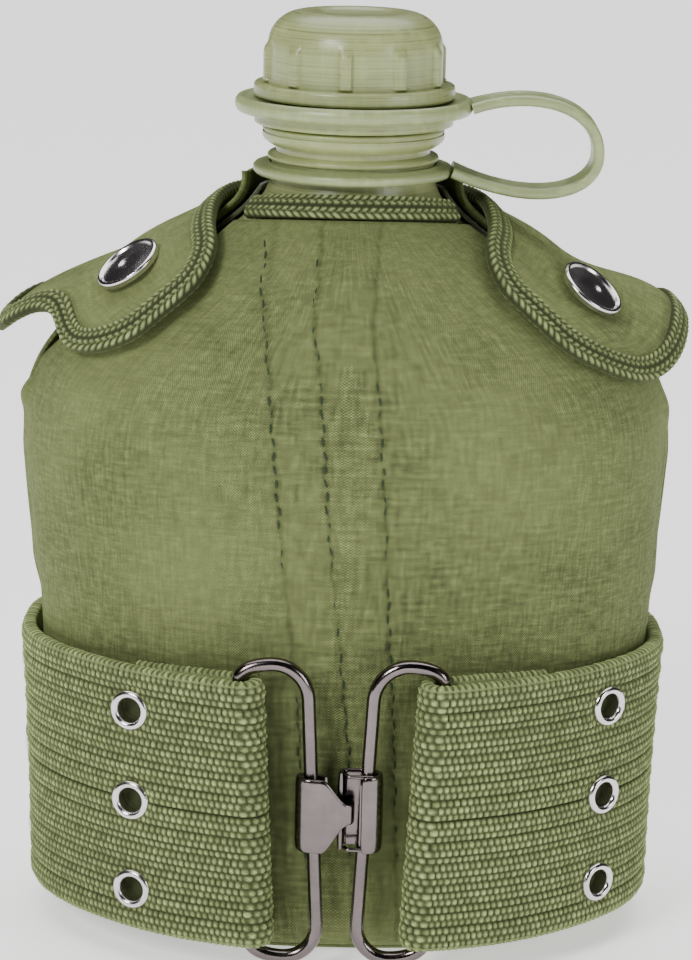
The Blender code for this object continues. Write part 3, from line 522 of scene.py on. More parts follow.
class Effects:
    """Node groups that several finishes share, each built once."""

    _made: dict[str, bpy.types.NodeTree] = {}

    @classmethod
    def _start(cls, name: str, inputs: dict[str, Any], outputs: Sequence[str]) -> tuple[Tree, Any, Any]:
        """A new group with its sockets.

        Args:
            name: The group's name.
            inputs: Names and default values, a vector where the default is None.
            outputs: Names of the float outputs.

        Returns:
            The tree, its input node and its output node.
        """
        made = bpy.data.node_groups.new(name, "ShaderNodeTree")
        for label, value in inputs.items():
            kind = "NodeSocketVector" if value is None else "NodeSocketFloat"
            socket = made.interface.new_socket(name=label, in_out="INPUT", socket_type=kind)
            if value is not None:
                socket.default_value = value
        for label in outputs:
            made.interface.new_socket(name=label, in_out="OUTPUT", socket_type="NodeSocketFloat")
        cls._made[name] = made
        return Tree(made), made.nodes.new("NodeGroupInput"), made.nodes.new("NodeGroupOutput")

    @classmethod
    def plain_weave(cls) -> bpy.types.NodeTree:
        """Crossing threads: Height, and Streak, a tone that follows single threads both ways."""
        if "Plain weave" in cls._made:
            return cls._made["Plain weave"]
        sockets = {"Vector": None, "Pitch": 0.5, "Slub": 1.0}
        tree, given, result = cls._start("Plain weave", sockets, ("Height", "Streak"))
        apart = tree.node("SeparateXYZ", Vector=given.outputs["Vector"])
        warp = tree.sum("DIVIDE", apart.outputs["X"], given.outputs["Pitch"])
        weft = tree.sum("DIVIDE", apart.outputs["Y"], given.outputs["Pitch"])
        ridge_u = tree.sum("SINE", tree.sum("MULTIPLY", warp, math.pi))
        ridge_v = tree.sum("SINE", tree.sum("MULTIPLY", weft, math.pi))
        over = tree.sum("MULTIPLY", ridge_u, ridge_v)
        crossing = tree.sum("MULTIPLY_ADD", over, 0.5, 0.5)
        long_u = tree.noise(tree.stretch(given.outputs["Vector"], 0.16, 1.0), 1.0, 4.0, 0.75)
        long_v = tree.noise(tree.stretch(given.outputs["Vector"], 1.0, 0.16), 1.0, 4.0, 0.75)
        streak = tree.sum("MULTIPLY", tree.sum("ADD", long_u, long_v), 0.5)
        uneven = tree.sum("MULTIPLY", tree.sum("SUBTRACT", streak, 0.5), given.outputs["Slub"])
        tree.feed(result.inputs["Height"], tree.sum("ADD", crossing, uneven))
        tree.feed(result.inputs["Streak"], streak)
        return tree.tree

    @classmethod
    def mottle(cls) -> bpy.types.NodeTree:
        """Soft patches of fading and soil: Patches, broad, and Specks, fine."""
        if "Fading" in cls._made:
            return cls._made["Fading"]
        sockets = {"Vector": None, "Broad": 25.0, "Fine": 400.0}
        tree, given, result = cls._start("Fading", sockets, ("Patches", "Specks"))
        for size, detail, label in (("Broad", 4.0, "Patches"), ("Fine", 2.0, "Specks")):
            made = tree.node("TexNoise", Vector=given.outputs["Vector"], Scale=given.outputs[size],
                             Detail=detail)
            tree.feed(result.inputs[label], made.outputs["Fac"])
        return tree.tree

    @classmethod
    def scuffs(cls) -> bpy.types.NodeTree:
        """Fine rubbed scratches: Mask, from 0 to 1."""
        if "Scuffs" in cls._made:
            return cls._made["Scuffs"]
        tree, given, result = cls._start("Scuffs", {"Vector": None, "Scale": 300.0, "Amount": 0.5}, ("Mask",))
        one = tree.node("TexNoise", Vector=tree.stretch(given.outputs["Vector"], 1.0, 1.0, 0.12),
                        Scale=given.outputs["Scale"], Detail=5.0)
        two = tree.node("TexNoise", Vector=tree.stretch(given.outputs["Vector"], 0.2, 0.2, 1.0),
                        Scale=given.outputs["Scale"], Detail=5.0)
        both = tree.sum("MULTIPLY", one.outputs["Fac"], two.outputs["Fac"])
        mask = tree.span(both, 0.24, 0.40)
        tree.feed(result.inputs["Mask"], tree.sum("MULTIPLY", mask, given.outputs["Amount"]))
        return tree.tree


# ---- Finishes ----


@dataclass(frozen=True)
class Finish:
    """A finish, made into a material once and shared by its pieces."""

    name: str
    base: Shade
    roughness: float = 0.5

    def material(self) -> bpy.types.Material:
        """The material, built the first time that it is asked for."""
        label = f"{self.name} finish"
        made = bpy.data.materials.get(label)
        if made is None:
            made = bpy.data.materials.new(label)
            made.use_nodes = True
            tree = Tree(made.node_tree)
            self.dress(tree, made.node_tree.nodes["Principled BSDF"])
        return made

    def dress(self, tree: Tree, shader: bpy.types.Node) -> None:
        """Builds the finish on its shader."""
        raise NotImplementedError

    def raise_bump(self, tree: Tree, shader: bpy.types.Node, height: Socket, depth: float) -> None:
        """Feeds a height to the shader's normal, where 1 stands for a depth in metres."""
        made = tree.node("Bump", Height=height, Distance=depth, Strength=1.0)
        tree.feed(shader.inputs["Normal"], made.outputs["Normal"])


@dataclass(frozen=True)
class Cloth(Finish):
    """Woven cloth, with its coordinates in mm on the cloth map, and painted shade for its hollows in the
    relief attribute.
    """

    roughness: float = 0.9
    pitch: float = 0.5
    slub: float = 1.0
    contrast: float = 0.35
    # Painted shade in the hollows: the deepest keeps this share of the colour, and the power sets how fast it
    # deepens.
    hollow_shade_floor: float = 0.25
    hollow_shade_power: float = 1.0
    weave_depth: float = 0.00012
    sheen: float = 0.25
    patch_size: float = 22.0

    def dress(self, tree: Tree, shader: bpy.types.Node) -> None:
        """Builds the cloth on its shader."""
        cloth = tree.node("UVMap", {"uv_map": "cloth"}).outputs["UV"]
        place = tree.node("TexCoord").outputs["Object"]
        weave = tree.group(Effects.plain_weave(), Vector=cloth, Pitch=self.pitch, Slub=self.slub)
        fading = tree.group(Effects.mottle(), Vector=place, Broad=self.patch_size, Fine=900.0)
        relief = tree.node("Attribute", {"attribute_name": "relief"}).outputs["Fac"]
        thread = tree.span(weave.outputs["Streak"], 0.36, 0.64)
        shade = tree.blend(thread, tinted(self.base, 1 - self.contrast), tinted(self.base, 1 + self.contrast))
        crossing = tree.span(weave.outputs["Height"], 0.25, 0.9)
        shade = tree.blend(crossing, tinted(self.base, 1 - 0.8 * self.contrast), shade)
        worn = tree.span(fading.outputs["Patches"], 0.38, 0.66)
        shade = tree.blend(worn, shade, tree.blend(0.5, shade, tinted(self.base, 1.22)))
        specks = tree.span(fading.outputs["Specks"], 0.60, 0.72)
        shade = tree.blend(tree.sum("MULTIPLY", specks, 0.10), shade, tinted(self.base, 1.8))
        # Painted shade: the relief attribute darkens the cloth towards near black in its hollows, grooves and
        # gaps.
        painted_hollow_shade = tree.span(tree.sum("POWER", relief, self.hollow_shade_power), 0.0, 1.0, self.hollow_shade_floor, 1.0)
        shade = tree.blend(painted_hollow_shade, tinted(self.base, 0.08), shade)
        tree.feed(shader.inputs["Base Color"], shade)
        rough = tree.span(thread, 0.0, 1.0, self.roughness, self.roughness - 0.12)
        tree.feed(shader.inputs["Roughness"], rough)
        shader.inputs["Sheen Weight"].default_value = self.sheen
        shader.inputs["Sheen Roughness"].default_value = 0.5
        shader.inputs["Sheen Tint"].default_value = tinted(self.base, 2.2)
        shader.inputs["Specular IOR Level"].default_value = 0.15
        self.raise_bump(tree, shader, weave.outputs["Height"], self.weave_depth)


@dataclass(frozen=True)
class Felt(Finish):
    """Matted wool felt."""

    roughness: float = 1.0

    def dress(self, tree: Tree, shader: bpy.types.Node) -> None:
        """Builds the felt on its shader."""
        place = tree.node("TexCoord").outputs["Object"]
        fading = tree.group(Effects.mottle(), Vector=place, Broad=60.0, Fine=2600.0)
        shade = tree.blend(fading.outputs["Specks"], tinted(self.base, 0.5), tinted(self.base, 1.5))
        shade = tree.blend(tree.span(fading.outputs["Patches"], 0.35, 0.7), shade, tinted(self.base, 0.7))
        tree.feed(shader.inputs["Base Color"], shade)
        shader.inputs["Roughness"].default_value = self.roughness
        shader.inputs["Sheen Weight"].default_value = 0.5
        self.raise_bump(tree, shader, fading.outputs["Specks"], 0.0004)


@dataclass(frozen=True)
class MouldedPlastic(Finish):
    """Satin moulded plastic with fine turning lines and light handling scuffs."""

    lines: float = 1.0
    rim_light: float = 0.25

    def dress(self, tree: Tree, shader: bpy.types.Node) -> None:
        """Builds the plastic on its shader."""
        place = tree.node("TexCoord").outputs["Object"]
        brushed = tree.noise(tree.stretch(place, 12.0, 12.0, 2600.0), 1.0, 3.0, 0.7)
        fading = tree.group(Effects.mottle(), Vector=place, Broad=70.0, Fine=1500.0)
        scuffs = tree.group(Effects.scuffs(), Vector=place, Scale=500.0, Amount=0.6)
        tone = tree.span(brushed, 0.3, 0.7)
        lined = tree.sum("MULTIPLY", tone, self.lines)
        shade = tree.blend(lined, tinted(self.base, 0.74), tinted(self.base, 1.35))
        patches = tree.span(fading.outputs["Patches"], 0.35, 0.7)
        shade = tree.blend(tree.sum("MULTIPLY", patches, 0.3), shade, tinted(self.base, 0.75))
        shade = tree.blend(tree.sum("MULTIPLY", scuffs.outputs["Mask"], 0.4), shade, tinted(self.base, 1.9))
        tree.feed(shader.inputs["Base Color"], shade)
        rough = tree.span(brushed, 0.3, 0.7, self.roughness - 0.05, self.roughness + 0.10)
        scuffed = tree.sum("MULTIPLY", scuffs.outputs["Mask"], 0.15)
        tree.feed(shader.inputs["Roughness"], tree.sum("ADD", rough, scuffed))
        shader.inputs["Coat Weight"].default_value = self.rim_light
        shader.inputs["Coat Roughness"].default_value = 0.35
        height = tree.sum("ADD", tree.sum("MULTIPLY", brushed, self.lines),
                          tree.sum("MULTIPLY", fading.outputs["Specks"], 0.25))
        self.raise_bump(tree, shader, height, 0.00004)


@dataclass(frozen=True)
class PlatedMetal(Finish):
    """Plated metal, brighter or browner where it is rubbed, with fine scratches."""

    worn: Shade = (0.6, 0.58, 0.56, 1.0)
    wear: float = 0.5
    grain: float = 0.00002

    def dress(self, tree: Tree, shader: bpy.types.Node) -> None:
        """Builds the metal on its shader."""
        place = tree.node("TexCoord").outputs["Object"]
        fading = tree.group(Effects.mottle(), Vector=place, Broad=140.0, Fine=1800.0)
        scuffs = tree.group(Effects.scuffs(), Vector=place, Scale=900.0, Amount=1.0)
        shade = tree.blend(tree.span(fading.outputs["Patches"], 0.35, 0.7), self.base, tinted(self.base, 0.8))
        rubbed = tree.sum("MULTIPLY", scuffs.outputs["Mask"], self.wear)
        shade = tree.blend(rubbed, shade, self.worn)
        tree.feed(shader.inputs["Base Color"], shade)
        shader.inputs["Metallic"].default_value = 1.0
        rough = tree.span(fading.outputs["Patches"], 0.3, 0.7, self.roughness - 0.04, self.roughness + 0.08)
        tree.feed(shader.inputs["Roughness"], tree.sum("ADD", rough, tree.sum("MULTIPLY", rubbed, 0.2)))
        self.raise_bump(tree, shader, fading.outputs["Specks"], self.grain)


@dataclass(frozen=True)
class Rubber(Finish):
    """Dull black rubber."""

    def dress(self, tree: Tree, shader: bpy.types.Node) -> None:
        """Builds the rubber on its shader."""
        place = tree.node("TexCoord").outputs["Object"]
        fading = tree.group(Effects.mottle(), Vector=place, Broad=150.0, Fine=2500.0)
        shade = tree.blend(fading.outputs["Patches"], self.base, tinted(self.base, 2.0))
        tree.feed(shader.inputs["Base Color"], shade)
        shader.inputs["Roughness"].default_value = self.roughness
        self.raise_bump(tree, shader, fading.outputs["Specks"], 0.00008)


@dataclass(frozen=True)
class Paper(Finish):
    """The plain pale floor."""

    def dress(self, tree: Tree, shader: bpy.types.Node) -> None:
        """Builds the floor's finish."""
        shader.inputs["Base Color"].default_value = self.base
        shader.inputs["Roughness"].default_value = self.roughness
        shader.inputs["Specular IOR Level"].default_value = 0.0
        shader.inputs["Emission Color"].default_value = self.base
        shader.inputs["Emission Strength"].default_value = 0.8


CANVAS_CLOTH = Cloth("canvas", colour(0.180, 0.212, 0.080), pitch=0.30, contrast=0.80, weave_depth=0.00010)
TAPE_CLOTH = Cloth("binding tape", colour(0.300, 0.360, 0.145), pitch=0.34, contrast=0.5, hollow_shade_floor=0.0,
                   hollow_shade_power=2.2, sheen=0.2, weave_depth=0.00005)
WEB_CLOTH = Cloth("webbing", colour(0.440, 0.530, 0.215), pitch=0.40, contrast=0.40, hollow_shade_floor=0.0,
                  hollow_shade_power=2.0, sheen=0.2, weave_depth=0.00006)
THREAD = Cloth("sewing thread", colour(0.035, 0.058, 0.030), pitch=0.3, contrast=0.2, sheen=0.1,
               weave_depth=0.00004)
WOOL = Felt("wool felt", colour(0.10, 0.11, 0.05))
FLASK_PLASTIC = MouldedPlastic("flask plastic", colour(0.270, 0.305, 0.125), 0.28)
TETHER_PLASTIC = MouldedPlastic("tether plastic", colour(0.330, 0.385, 0.170), 0.32, lines=0.3)
NICKEL = PlatedMetal("nickel", colour(0.74, 0.70, 0.70), 0.18, wear=0.1, grain=0.000004)
BLACK_NICKEL = PlatedMetal("black nickel", colour(0.19, 0.16, 0.16), 0.15, worn=colour(0.30, 0.24, 0.23),
                           wear=0.12)
BRASS = PlatedMetal("dark brass", colour(0.30, 0.30, 0.22), 0.35)
SEAL_RUBBER = Rubber("seal rubber", colour(0.03, 0.03, 0.03), 0.8)
FLOOR = Paper("floor", colour(0.93, 0.93, 0.93), 0.9)


# ---- Flask ----


@dataclass
class Flask:
    """The moulded flask: body, beaded neck, collar and threaded mouth."""

    sides: int = 96
    wall: float = 0.0016
    bead: float = 0.0009
    waist_r: float = 0.0166
    collar_r: float = 0.0196
    thread_root_r: float = 0.0158
    thread_r: float = 0.0170
    thread_lead: float = 0.0080
    mouth_r: float = 0.0138
    bead_z: float = 0.1686
    collar_z: float = 0.1720
    collar_top_z: float = 0.1760
    mouth_z: float = 0.1950

    def neck(self) -> list[tuple[float, float]]:
        """Radii and heights up the neck, over the mouth and down its bore."""
        profile = [(FORM.neck_r, self.bead_z - GAP / 2)]
        for i in range(7):
            turn = math.pi * i / 6
            profile.append((FORM.neck_r + self.bead * math.sin(turn),
                            self.bead_z + 0.0008 - 0.0008 * math.cos(turn)))
        profile += [(self.waist_r, self.bead_z + 0.0019), (self.waist_r, self.collar_z - 0.0004)]
        for share in (0.0, 0.3, 0.6, 0.85, 1.0):
            profile.append((lerp(self.waist_r + 0.0012, self.collar_r, math.sin(share * math.pi / 2)),
                            self.collar_z + 0.0018 * share))
        profile += [(self.collar_r, self.collar_z + 0.0026), (self.collar_r - 0.0004, self.collar_z + 0.0028),
                    (self.collar_r - 0.0004, self.collar_z + 0.0031), (self.collar_r, self.collar_z + 0.0033),
                    (self.collar_r, self.collar_top_z - 0.0003), (self.collar_r - 0.0003, self.collar_top_z),
                    (self.thread_root_r, self.collar_top_z)]
        for i in range(3):
            z = self.collar_top_z + 0.0050 + 0.5 * self.thread_lead * i
            profile += [(self.thread_root_r, z - 0.0011), (self.thread_r - 0.0002, z - 0.0004),
                        (self.thread_r, z), (self.thread_r - 0.0002, z + 0.0004),
                        (self.thread_root_r, z + 0.0011)]
        profile += [(self.thread_root_r, self.mouth_z - 0.0004), (self.thread_root_r - 0.0004, self.mouth_z),
                    (self.mouth_r + 0.0004, self.mouth_z), (self.mouth_r, self.mouth_z - 0.0004),
                    (self.mouth_r, self.collar_z)]
        return profile

    def build(self) -> None:
        """Makes the flask as one skin, up the outside and down the inside."""
        z_low = FORM.base_z + FORM.base_round * (1 - np.cos(np.linspace(0.0, np.pi / 2, 8)))
        outer_z = np.concatenate([z_low, np.linspace(z_low[-1], FORM.shoulder_z, 5)[1:],
                                  np.linspace(FORM.shoulder_z, FORM.top_z, 26)[1:]])
        inner_z = np.concatenate([np.linspace(FORM.top_z - self.wall, FORM.shoulder_z, 16),
                                  np.linspace(FORM.shoulder_z, z_low[-1], 4)[1:], z_low[::-1][1:]])
        neck = np.array(self.neck())
        rows = len(outer_z) + len(neck) + len(inner_z)
        heights = np.concatenate([outer_z, neck[:, 1], inner_z])
        radii = np.concatenate([np.zeros(len(outer_z)), neck[:, 0], np.zeros(len(inner_z))])
        outs = np.concatenate([np.zeros(len(outer_z) + len(neck)), np.full(len(inner_z), -self.wall)])

        def place(across: np.ndarray, along: np.ndarray) -> Laid:
            """A point of the flask's skin."""
            row = nearest(along, rows - 1)
            turn = np.rint(across * self.sides) / self.sides * 360 % 360
            round_row = radii[row] > 0
            side = FORM.surface(turn, np.maximum(heights[row], FORM.base_z), outs[row])
            ring = np.stack([radii[row] * np.cos(np.radians(turn)), radii[row] * np.sin(np.radians(turn)),
                             heights[row]], axis=-1)
            points = np.where(round_row[:, None], ring, side)
            return points, np.stack([turn, heights[row]], axis=-1), np.ones(len(row))

        bm = cap_ends(grid(self.sides, rows - 1, place, weld=True))
        piece = Piece("flask", FLASK_PLASTIC, Body.CANTEEN, Slot.FLASK, ("bottle",), crease=50)
        piece.add(face_out(bm))


# ---- Cap and tether ----


@dataclass
class ScrewCap:
    """The domed screw cap with its grip ribs."""

    z: float = 0.1765
    top_z: float = 0.2004
    roof_z: float = 0.1970
    lip_r: float = 0.0214
    flange_r: float = 0.0216
    groove_r: float = 0.0187
    bore_r: float = 0.0175
    groove_z: float = 0.1790
    flange_z: float = 0.1822
    flange_top_z: float = 0.1852
    round_r: float = 0.0075
    ribs: int = 10
    rib: float = 0.0011
    rib_half_width: float = 0.0014
    rib_height: float = 0.0075
    first_rib: float = -95.7
    dish_r: float = 0.0088
    dish: float = 0.0007
    steps: int = 300

    def profile(self) -> list[tuple[float, float]]:
        """Radii and heights from the middle of the dish, down the outside and up the bore."""
        side_r = self.groove_r + 0.0001
        centre_r, centre_z = side_r - self.round_r, self.top_z - self.round_r
        points = [(0.0, self.top_z - self.dish), (self.dish_r * 0.6, self.top_z - self.dish * 0.98),
                  (self.dish_r - 0.0012, self.top_z - self.dish * 0.75),
                  (self.dish_r - 0.0004, self.top_z - 0.0002), (self.dish_r, self.top_z)]
        for turn in range(0, 91, 9):
            points.append((centre_r + self.round_r * math.sin(math.radians(turn)),
                           centre_z + self.round_r * math.cos(math.radians(turn))))
        low = self.flange_top_z
        points += [(side_r, z) for z in np.linspace(centre_z, low + 0.0008, 14)[1:]]
        points += [(side_r + 0.0003, low + 0.0006), (side_r + 0.0003, low)]
        edge = 0.0007
        for turn in range(0, 91, 30):
            points.append((self.flange_r - edge + edge * math.sin(math.radians(turn)),
                           low - edge + edge * math.cos(math.radians(turn))))
        points += [(self.flange_r, self.flange_z + 0.0004), (self.flange_r - 0.0004, self.flange_z),
                   (self.groove_r, self.flange_z), (self.groove_r, self.groove_z),
                   (self.lip_r - 0.0003, self.groove_z), (self.lip_r, self.groove_z - 0.0003),
                   (self.lip_r, self.z + 0.0003), (self.lip_r - 0.0003, self.z), (self.bore_r, self.z),
                   (self.bore_r, self.roof_z), (0.0, self.roof_z)]
        return points

    def build(self) -> None:
        """Turns the cap and swells its grip ribs."""
        bm = turned(self.profile(), self.steps, closed=False)
        top = self.flange_top_z + self.rib_height
        for vert in bm.verts:
            x, y, z = vert.co
            radius = math.hypot(x, y)
            if not (self.flange_top_z + 0.0002 < z < self.top_z - 0.0020 and radius > self.groove_r - 0.0040):
                continue
            pitch = 360 / self.ribs
            off = (math.degrees(math.atan2(y, x)) - self.first_rib + pitch / 2) % pitch - pitch / 2
            apart = math.radians(off) * radius / self.rib_half_width
            over = max(z - (top - 0.0012), 0.0) / 0.0022
            swell = self.rib * max(1 - apart**4, 0.0) ** 0.5 if abs(apart) < 1 else 0.0
            swell *= max(1 - over**2, 0.0) ** 0.5 if over < 1 else 0.0
            vert.co.x *= 1 + swell / radius
            vert.co.y *= 1 + swell / radius
        Piece("screw_cap_shell", FLASK_PLASTIC, Body.SCREW_CAP, Slot.FLASK, ("cap",), crease=40).add(bm)


@dataclass
class Tether:
    """The moulded tether: a dished ring under the cap, a ring round the neck and the band between them."""

    ring_z: float = 0.1795
    bore_r: float = 0.0192
    ring_r: float = 0.0256
    thickness: float = 0.0022
    rim: float = 0.0021
    rim_height: float = 0.0034
    neck_ring_z: float = 0.1656
    neck_ring_width: float = 0.0034
    neck_ring_thickness: float = 0.0026
    band_width: float = 0.0110
    band_thickness: float = 0.0026
    reach: float = 0.0270

    def cap_ring(self) -> None:
        """The dished ring that turns under the cap's flange."""
        top_z = self.ring_z + self.thickness
        rim_z = self.ring_z - (self.rim_height - self.thickness) / 2
        rim_top_z = rim_z + self.rim_height
        rim_in_r = self.ring_r - self.rim
        profile = [(self.bore_r, self.ring_z), (rim_in_r, self.ring_z), (rim_in_r + 0.0003, rim_z + 0.0003)]
        for turn in range(-90, 91, 15):
            cos, sin = math.cos(math.radians(turn)), math.sin(math.radians(turn))
            profile.append((self.ring_r - 0.0012 + 0.0012 * cos,
                            (rim_z + rim_top_z) / 2 + self.rim_height / 2 * sin))
        profile += [(rim_in_r + 0.0003, rim_top_z - 0.0002), (rim_in_r - 0.0002, top_z), (self.bore_r, top_z)]
        bm = turned(profile, 180)
        Piece("tether_ring_dish", TETHER_PLASTIC, Body.TETHER_RING, Slot.TETHER, ("tether_cap_ring",),
              50).add(bm)

    def neck_ring(self) -> None:
        """The split ring round the neck."""
        inner = FORM.neck_r + RUN
        outer = inner + self.neck_ring_width
        low, high = self.neck_ring_z, self.neck_ring_z + self.neck_ring_thickness
        profile = [(inner, low), (outer - 0.0006, low), (outer, low + 0.0006), (outer, high - 0.0010),
                   (outer - 0.0004, high - 0.0005), (outer - 0.0014, high - 0.0004), (outer - 0.0020, high),
                   (inner, high)]
        Piece("tether_ring_neck", TETHER_PLASTIC, Body.CANTEEN, Slot.TETHER, ("tether_neck_ring",), 50).add(
            turned(profile, 120))

    def band(self) -> None:
        """The band, thicker along its two edges, made in one shape, though the real band stretches as the cap
        lifts.
        """
        neck_ring_r = FORM.neck_r + RUN + self.neck_ring_width
        start = Vector((self.ring_r - 0.0003, 0, self.ring_z + self.thickness / 2))
        end = Vector((neck_ring_r - 0.0002, 0, self.neck_ring_z + self.neck_ring_thickness / 2))
        far = Vector((self.ring_r + self.reach, 0, 0.45 * start.z + 0.55 * end.z - 0.0020))
        over, under = Vector((0.5 * self.reach, 0, 0.0045)), Vector((0.62 * self.reach, 0, -0.0075))
        rise = Vector((0, 0, 0.0105))
        path = interpolate_bezier(start, start + over, far + rise, far, 34)
        path += interpolate_bezier(far, far - rise * 0.85, end + under, end, 34)[1:]
        line = np.array([tuple(p) for p in path])
        along = unit(np.vstack([line[1:] - line[:-1], line[-1:] - line[-2:-1]]) +
                     np.vstack([line[1:2] - line[:1], line[1:] - line[:-1]]))
        normal = np.stack([-along[:, 2], np.zeros(len(line)), along[:, 0]], axis=-1)
        sides = 36
        turns = np.linspace(0, math.tau, sides, endpoint=False) + math.pi / sides
        wide = squared(np.cos(turns), 0.35)
        high = squared(np.sin(turns), 0.55)
        dip = 0.34 * smooth((0.72 - np.abs(wide)) / 0.16)
        high = np.where(high > 0, np.minimum(high, 1 - dip), high)

        def place(across: np.ndarray, share: np.ndarray) -> Laid:
            """A point of the band's skin."""
            row = nearest(share, len(line) - 1)
            spot = nearest(across, sides) % sides
            flare = 1 + 0.25 * np.clip(1 - np.minimum(row, len(line) - 1 - row) / 6, 0, 1) ** 2
            sideways = (wide[spot] * self.band_width / 2 * flare)[:, None] * np.array([0.0, 1.0, 0.0])
            points = line[row] + sideways
            points = points + (high[spot] * self.band_thickness / 2)[:, None] * normal[row]
            return points, np.stack([share * 110, across * 30], axis=-1), np.ones(len(row))

        bm = face_out(cap_ends(grid(sides, len(line) - 1, place, weld=True)))
        made = Piece("tether_strap", TETHER_PLASTIC, None, Slot.TETHER, ("tether_band",), 50).add(bm)
        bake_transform(made)

    def build(self) -> None:
        """Makes all three."""
        self.cap_ring()
        self.neck_ring()
        self.band()


# ---- Stitching ----


@dataclass
class Stitching:
    """A run of thread: short stitches sunk along a line."""

    length: float = 0.0023
    pitch: float = 0.0030
    radius: float = 0.00026

    def sew(self, bm: bmesh.types.BMesh, line: np.ndarray, normals: np.ndarray) -> None:
        """Adds stitches along a line.

        Args:
            bm: The mesh that takes them.
            line: Points along the seam.
            normals: The way out of the cloth at each point.
        """
        lengths = lengths_along(line)
        for i in range(int(lengths[-1] / self.pitch)):
            middle = (i + 0.5) * self.pitch
            near, far, at = (points_at(stop, lengths, line)
                             for stop in (middle - self.length / 2, middle + self.length / 2, middle))
            normal = Vector(points_at(middle, lengths, normals))
            along = Vector(far - near).normalized()
            side = normal.cross(along).normalized()
            up = along.cross(side)
            turn = Matrix((side, along, up)).transposed().to_4x4()
            size = Matrix.Diagonal((self.radius, self.length / 2, self.radius, 1))
            spot = Matrix.Translation(Vector(at)) @ turn @ size
            bmesh.ops.create_icosphere(bm, subdivisions=1, radius=1.0, matrix=spot)


# ---- Braid ----


@dataclass
class Braid:
    """A herringbone binding tape, raised strand by strand."""

    width: float = 0.0056
    thickness: float = 0.0030
    columns: int = 4
    strand: float = 0.00165
    slant: float = 0.75
    relief: float = 0.00042
    sides: int = 44
    step: float = 0.00026

    def heights(self, run: np.ndarray, wide: np.ndarray) -> np.ndarray:
        """Strand heights over the tape.

        Args:
            run: Distance along.
            wide: Place across, from -1 to 1.

        Returns:
            Heights from 0, between strands, to 1.
        """
        column = np.clip(np.floor((wide + 1) / 2 * self.columns), 0, self.columns - 1)
        inside = (wide + 1) / 2 * self.columns - column
        lean = np.where(column % 2 == 0, 1.0, -1.0)
        phase = run / self.strand + lean * (inside - 0.5) * self.slant + 0.5 * (column % 2)
        cell = np.floor(phase) + 61 * column
        uneven = 0.78 + 0.22 * scatter(cell)
        ridge = np.sin(np.pi * (phase - np.floor(phase))) ** 0.8
        edge = np.sin(np.pi * np.clip(inside, 0.0, 1.0)) ** 0.45
        return ridge * edge * uneven

    def lay(self, name: str, line: np.ndarray, normals: np.ndarray, body: Optional[Body],
            nodes: tuple[str, ...]) -> bpy.types.Object:
        """Makes a tape along a line.

        Args:
            name: The piece's name.
            line: Points along its middle.
            normals: The way out of its face at each point.
            body: The body it rides on, or None, which leaves it on no body.
            nodes: The nodes it stands for.

        Returns:
            The tape.
        """
        lengths = lengths_along(line)
        rows = max(int(lengths[-1] / self.step), 8)
        stops = np.linspace(0, lengths[-1], rows + 1)
        middle = points_at(stops, lengths, line)
        out = unit(points_at(stops, lengths, normals))
        reach = 6
        padded = np.vstack([middle[:1]] * reach + [middle] + [middle[-1:]] * reach)
        along = unit(padded[2 * reach:] - padded[:-2 * reach])
        across = unit(np.cross(along, out))
        out = np.cross(across, along)
        turns = np.linspace(0, math.tau, self.sides, endpoint=False)
        wide = squared(np.cos(turns), 0.7)
        high = squared(np.sin(turns), 0.6)

        def place(across_share: np.ndarray, share: np.ndarray) -> Laid:
            """A point of the tape's skin."""
            row = nearest(share, rows)
            spot = nearest(across_share, self.sides) % self.sides
            raised = self.heights(stops[row], wide[spot])
            taper = np.clip(np.minimum(row, rows - row) / 4, 0.35, 1.0)
            half = (self.thickness / 2 - self.relief * 0.6) * taper
            swell = 1 + self.relief * (raised - 0.2) / (self.thickness / 2)
            rim = 1 + 0.10 * (raised - 0.4)
            points = middle[row] + (wide[spot] * self.width / 2 * taper * rim)[:, None] * across[row]
            points = points + (high[spot] * half * swell)[:, None] * out[row]
            cloth = np.stack([stops[row], spot / self.sides * 2 * self.width], axis=-1) / MM
            # The relief darkens the gaps between strands: painted shade.
            return points, cloth, np.clip(raised * 1.25 - 0.05, 0, 1)

        bm = face_out(cap_ends(grid(self.sides, rows, place, weld=True)))
        return Piece(name, TAPE_CLOTH, body, Slot.TAPE, nodes, crease=75).add(bm)


# ---- Cover ----


